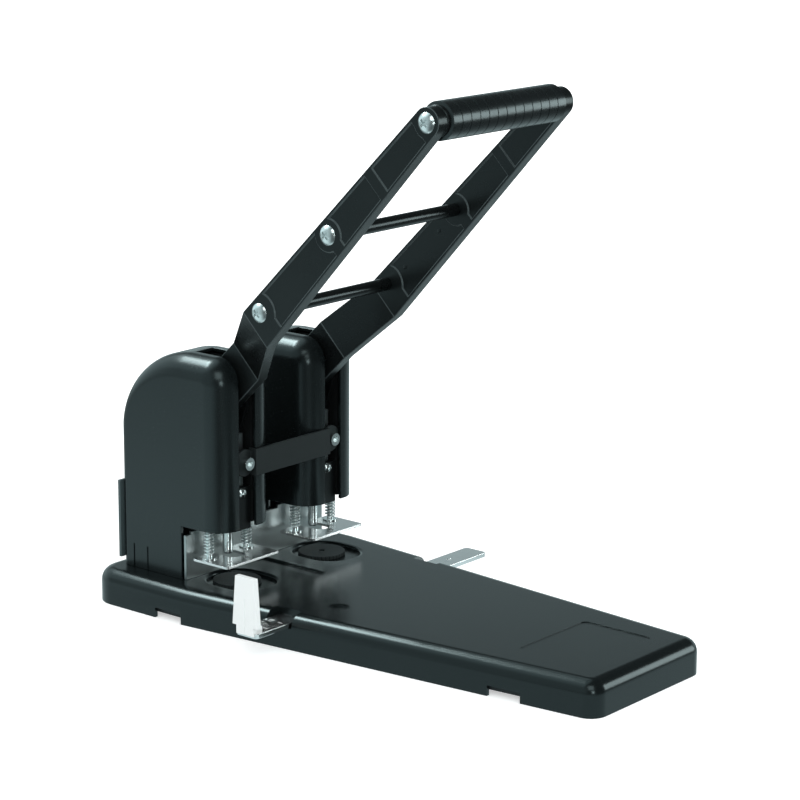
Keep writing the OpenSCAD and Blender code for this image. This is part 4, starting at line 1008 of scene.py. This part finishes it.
@dataclass
class Body:
    """Base, heads and the fixed trim."""

    top_mm: float = 21.7
    level_mm: float = 0.02
    steep_deg: float = 60.0
    head_x_mm: float = 40.0
    disc_half_mm: float = 19.2
    disc_y_mm: Pair = (-36.0, 12.0)
    channel_half_mm: float = 6.0
    channel_y_mm: Pair = (-45.0, 12.5)
    channel_share: float = 0.45
    dimple_mm: Pair = (-43.0, -94.4)
    dimple_r_mm: float = 7.6
    dimple_share: float = 0.2

    def pressed_edges(self, a: Array, b: Array, bend: Array) -> Array:
        """Rims of the disc recesses, the channel and the dimple on top of the base.

        Args:
            a: one end of each edge.
            b: its other end.
            bend: its bend in degrees.

        Returns:
            The share of the full rounding that each edge gets.
        """
        x, y = (a[:, 0] + b[:, 0]) / 2, (a[:, 1] + b[:, 1]) / 2
        level = np.abs(a[:, 2] - self.top_mm) < self.level_mm
        level &= np.abs(b[:, 2] - self.top_mm) < self.level_mm
        discs = np.abs(np.abs(x) - self.head_x_mm) < self.disc_half_mm
        discs &= (y > self.disc_y_mm[0]) & (y < self.disc_y_mm[1])
        channel = np.abs(x) < self.channel_half_mm
        channel &= (y > self.channel_y_mm[0]) & (y < self.channel_y_mm[1])
        dimple = np.hypot(x - self.dimple_mm[0], y - self.dimple_mm[1]) < self.dimple_r_mm
        share = np.maximum(discs, self.channel_share * channel)
        return level * (bend > self.steep_deg) * np.maximum(share, self.dimple_share * dimple)

    def build(self) -> None:
        """Refine the fixed pieces and make the head shells."""
        refined("base_cover", 0.35, 33.0, chosen=self.pressed_edges, soft_mm=2.2)
        WARDROBE.dress(refined("rear_plate", 0.3), "grey_coat")
        WARDROBE.dress(refined("back_stop", 0.25), "satin_sheet")
        refined("cover_screws", 0.2, 28.0)
        refined("rule_tracks", 0.2)
        for side in Side:
            HeadCover(side).build()
            refined(f"cutting_disc_{side.word}", 0.15, 26.0)


@dataclass
class Machinery:
    """Carriage and clamps."""

    def build(self) -> None:
        """Refine the moving pieces in and under the heads."""
        for side in Side:
            refined(f"carriage_block_{side.word}", 0.3)
            refined(f"carriage_tongue_{side.word}", 0.25)
            refined(f"punch_{side.word}", 0.1)
            refined(f"clamp_plate_{side.word}", 0.3, steps=3)
            refined(f"clamp_rods_{side.word}", 0.15)
        refined("tie_bar", 0.35)
        refined("tie_bolts", 0.25)
        refined("holder_screws", 0.15, 28.0)


@dataclass
class SideGuide:
    """Rule with its marks and the white paper guide."""

    rule_top_mm: float = 17.0
    marks_x_mm: Pair = (-90.5, -77.5)
    rule_y_mm: float = -74.1
    figure_y_mm: float = 3.6
    figure_mm: Tuple[Tuple[float, float, float, float], ...] = (
        (-1.6, -1.4, 0.3, 2.8), (0.0, -1.4, 0.3, 2.8), (1.5, -1.4, 0.3, 2.8),
        (0.2, 1.15, 1.5, 0.25), (0.2, -0.1, 1.5, 0.25), (0.2, -1.4, 1.5, 0.25),
    )
    tick_mm: Tuple[float, float, float, float] = (-0.3, -5.2, 0.6, 3.4)
    stroke_sunk_mm: float = 0.02
    stroke_t_mm: float = 0.05

    def marks(self) -> None:
        """Thin raised strokes: at each station a plain figure of bars and a short tick.

        A stroke is given by its lower left corner, its width and its height.
        """
        strokes = []
        for x in self.marks_x_mm:
            y = self.rule_y_mm + self.figure_y_mm
            strokes += [(x + dx, y + dy, w, h) for dx, dy, w, h in self.figure_mm]
            dx, dy, w, h = self.tick_mm
            strokes.append((x + dx, self.rule_y_mm + dy, w, h))
        data = np.array(strokes)
        foot = np.full(len(data), self.rule_top_mm - self.stroke_sunk_mm)
        lows = np.column_stack([data[:, :2], foot])
        sizes = np.column_stack([data[:, 2:], np.full(len(data), self.stroke_t_mm)])
        show(blocks("rule_marks", lows, sizes), "side_guide", "guide_plastic")

    def build(self) -> None:
        """Refine the rule and the guide, and mark the rule."""
        refined("rule_bar", 0.3)
        refined("paper_guide", 0.35, 25.0, steps=3)
        self.marks()


# ---------------------------------------------------------------- studio


@dataclass
class Studio:
    """Camera at the photograph's angle, pale floor and soft lamps."""

    target_mm: Triple = (1.035, -104.926, 143.978)
    distance_mm: float = 1615.46
    azimuth_deg: float = -50.393
    elevation_deg: float = 13.718
    roll_deg: float = 0.303
    focal_px: float = 2681.66
    image_px: int = 800
    sensor_mm: float = 36.0
    floor_m: float = 12.0
    flag: float = 0.12
    floor_white: float = 0.95
    dome_dark: float = 0.06
    dome_white: float = 0.78
    clip_m: Pair = (0.05, 60.0)
    aim_m: Triple = (0.0, -0.08, 0.08)
    base_ahead_m: float = 0.10
    base_half_m: Pair = (0.09, 0.19)
    floor_colour: Colour = (0.78, 0.78, 0.78)
    glow_near: float = 0.50
    glow_m: Pair = (0.35, 1.2)
    rear_left: Triple = (-0.77, 0.64, 0.0)
    rear_right: Triple = (0.77, 0.64, 0.0)
    to_right: Triple = (0.95, 0.31, 0.0)
    to_top_box: Triple = (-0.07, 0.60, 0.79)
    open_cos: Pair = (0.20, 0.80)
    open_m: Pair = (0.25, 1.30)
    open_fade: float = 0.5
    right_cos: Pair = (0.55, 0.90)
    right_m: Pair = (0.5, 1.0)
    right_white: float = 0.8
    close_m: Pair = (0.03, 0.13)
    close_white: float = 0.75
    dome_rear_cos: Pair = (-0.2, 0.7)
    dome_left_cos: Pair = (0.2, 0.8)
    dome_low_z: Pair = (0.10, 0.45)
    halo_cos: Pair = (0.74, 0.95)
    left_white: float = 0.5
    halo_white: float = 1.6

    def rays(self, shader: Shader) -> Tuple[Wire, Wire]:
        """What kind of ray has arrived.

        Args:
            shader: the tree that asks.

        Returns:
            1 for a ray straight or through glass from the camera, and 1 for one off a gloss.
        """
        path = shader.add("ShaderNodeLightPath")
        camera = shader.out(path, "Is Camera Ray") + shader.out(path, "Is Transmission Ray")
        return camera.clamped(), shader.out(path, "Is Glossy Ray")

    def camera(self) -> None:
        """Stand the camera where the photograph was taken from."""
        a, e, t = (math.radians(v) for v in (self.azimuth_deg, self.elevation_deg, self.roll_deg))
        back = np.array([math.sin(a) * math.cos(e), -math.cos(a) * math.cos(e), math.sin(e)])
        right = np.array([math.cos(a), math.sin(a), 0.0])
        up = np.cross(back, right)
        side = math.cos(t) * right + math.sin(t) * up
        top = -math.sin(t) * right + math.cos(t) * up
        place = (np.array(self.target_mm) + back * self.distance_mm) * MM
        data = bpy.data.cameras.new("camera")
        data.sensor_width = self.sensor_mm
        data.lens = self.focal_px * self.sensor_mm / self.image_px
        data.clip_start, data.clip_end = self.clip_m
        bpy.context.scene.camera = place_object("camera", data, (side, top, back), place)

    def floor(self) -> None:
        """Pale floor that keeps the shadow and is pure white farther off.

        Rays that come off a glossy surface see a pattern instead: pale close to the object, on
        its rear left and near its right, dark towards the camera and to the front right, as in a
        tent with dark flags. It is flag + (floor_white - flag) * max(open, right, close), where
        open and right rise with the cosine to the rear left and to the right and fade farther
        off, and close falls with the distance past the base.
        """
        half = self.floor_m / 2
        points = np.array([[-half, -half, 0], [half, -half, 0], [half, half, 0], [-half, half, 0]])
        piece = mesh_piece("floor", points, [[0, 1, 2, 3]])
        material, shader = new_material("pale_floor")
        camera, glossy = self.rays(shader)
        place = shader.place()
        x, y = place.dot((1.0, 0.0, 0.0)), place.dot((0.0, 1.0, 0.0)) + self.base_ahead_m
        far = shader.math("SQRT", x * x + y * y, 0.0)
        e = place.dot(self.rear_left) / (far + 0.01)
        f = place.dot(self.to_right) / (far + 0.01)
        past_x = shader.math("ABSOLUTE", x, 0.0) - self.base_half_m[0]
        past_y = shader.math("ABSOLUTE", y, 0.0) - self.base_half_m[1]
        gap = shader.math("MAXIMUM", past_x, past_y)
        open_side = e.step(*self.open_cos) * (1.0 - far.step(*self.open_m) * self.open_fade)
        right = self.right_white - far.step(*self.right_m) * self.right_white
        right = f.step(*self.right_cos) * right
        close = self.close_white - gap.step(*self.close_m) * self.close_white
        white = shader.math("MAXIMUM", shader.math("MAXIMUM", open_side, right), close)
        pattern = self.flag + white * (self.floor_white - self.flag)
        glow = camera * (self.glow_near + far.step(*self.glow_m) * (1.0 - self.glow_near))
        ground = shader.out(shader.add("ShaderNodeBsdfPrincipled", {}, {
            "Base Color": (*self.floor_colour, 1.0),
            "Roughness": 0.9,
            "Specular IOR Level": 0.0,
            "Emission Color": shader.mix(glow, BLACK, WHITE),
            "Emission Strength": 1.0,
        }))
        seen = shader.mix(pattern, BLACK, AIR)
        mirror = shader.out(shader.add("ShaderNodeEmission", {}, {"Color": seen, "Strength": 1.0}))
        both = shader.add("ShaderNodeMixShader", {}, {0: glossy, 1: ground, 2: mirror})
        shader.add("ShaderNodeOutputMaterial", {}, {"Surface": shader.out(both)})
        piece.data.materials.append(material)

    def world(self) -> None:
        """White behind the object, an even tint for diffuse rays and a dome for glossy rays.

        The dome is pale low down at the rear and on the rear left, and round the top lamp.
        """
        world = bpy.data.worlds.new("studio")
        bpy.context.scene.world = world
        world.use_nodes = True
        shader = Shader(world.node_tree)
        camera, glossy = self.rays(shader)
        way = shader.out(shader.add("ShaderNodeTexCoord"), "Generated")
        rear = way.dot(self.rear_right).step(*self.dome_rear_cos)
        left = way.dot(self.rear_left).step(*self.dome_left_cos)
        low = 1.0 - way.dot((0.0, 0.0, 1.0)).step(*self.dome_low_z)
        halo = way.dot(self.to_top_box).step(*self.halo_cos)
        dome = self.dome_dark + rear * low * self.dome_white + left * self.left_white
        dome = dome + halo * self.halo_white
        lit = 1.0 + glossy * (dome - 1.0)
        strength = camera + (1.0 - camera) * lit
        pale = shader.mix(camera, shader.mix(glossy, DAY, AIR), WHITE)
        colour = shader.mix(strength, BLACK, pale)
        back = shader.add("ShaderNodeBackground", {}, {"Color": colour, "Strength": 1.0})
        shader.add("ShaderNodeOutputWorld", {}, {"Surface": shader.out(back)})

    def lamp(
        self, name: str, way: Sequence[float], distance: float, size: Pair,
        power: float, sheen_only: bool = False,
    ) -> None:
        """A soft lamp that looks at the middle of the object.

        Args:
            name: the lamp's name.
            way: the direction from the object to the lamp.
            distance: how far it stands, in metres.
            size: its width and height in metres.
            power: its power in watts.
            sheen_only: whether it shows in highlights only and lights no diffuse surface.
        """
        data = bpy.data.lights.new(name, "AREA")
        data.shape = "RECTANGLE"
        data.size, data.size_y = size
        data.energy = power
        data.color = LAMP
        back = np.array(way, float) / np.linalg.norm(way)
        right = np.cross([0.0, 0.0, 1.0], back)
        right /= np.linalg.norm(right)
        up = np.cross(back, right)
        place = np.array(self.aim_m) + back * distance
        lamp = place_object(name, data, (right, up, back), place)
        lamp.visible_diffuse = not sheen_only

    def build(self) -> None:
        """Set the whole stage."""
        self.camera()
        self.floor()
        self.world()
        self.lamp("top_box", self.to_top_box, 1.6, (0.80, 0.31), 17.0, True)
        self.lamp("front_card", (-0.55, -0.82, 0.15), 1.8, (0.3, 0.5), 3.5, True)
        self.lamp("right_box", (0.75, -0.62, 0.19), 1.8, (0.5, 0.70), 5.6)
        self.lamp("front_fill", (-0.75, -0.75, 0.95), 2.2, (1.2, 1.2), 10.0)
        bpy.context.scene.view_settings.view_transform = "Standard"


def dress_carried_nodes() -> None:
    """Give every CAD node that still shows its own finish."""
    for name, node in frame["nodes"].items():
        WARDROBE.dress(node, NODE_SLOT[name])


def main() -> None:
    """Build the stage and every piece."""
    logging.basicConfig(level=logging.INFO, format="%(message)s")
    Studio().build()
    dress_carried_nodes()
    for part in (Body(), Lever(), Machinery(), Springs(), SideGuide()):
        part.build()
        LOG.info("finished %s", type(part).__name__)
    bpy.context.view_layer.update()


if __name__ == "__main__":
    main()
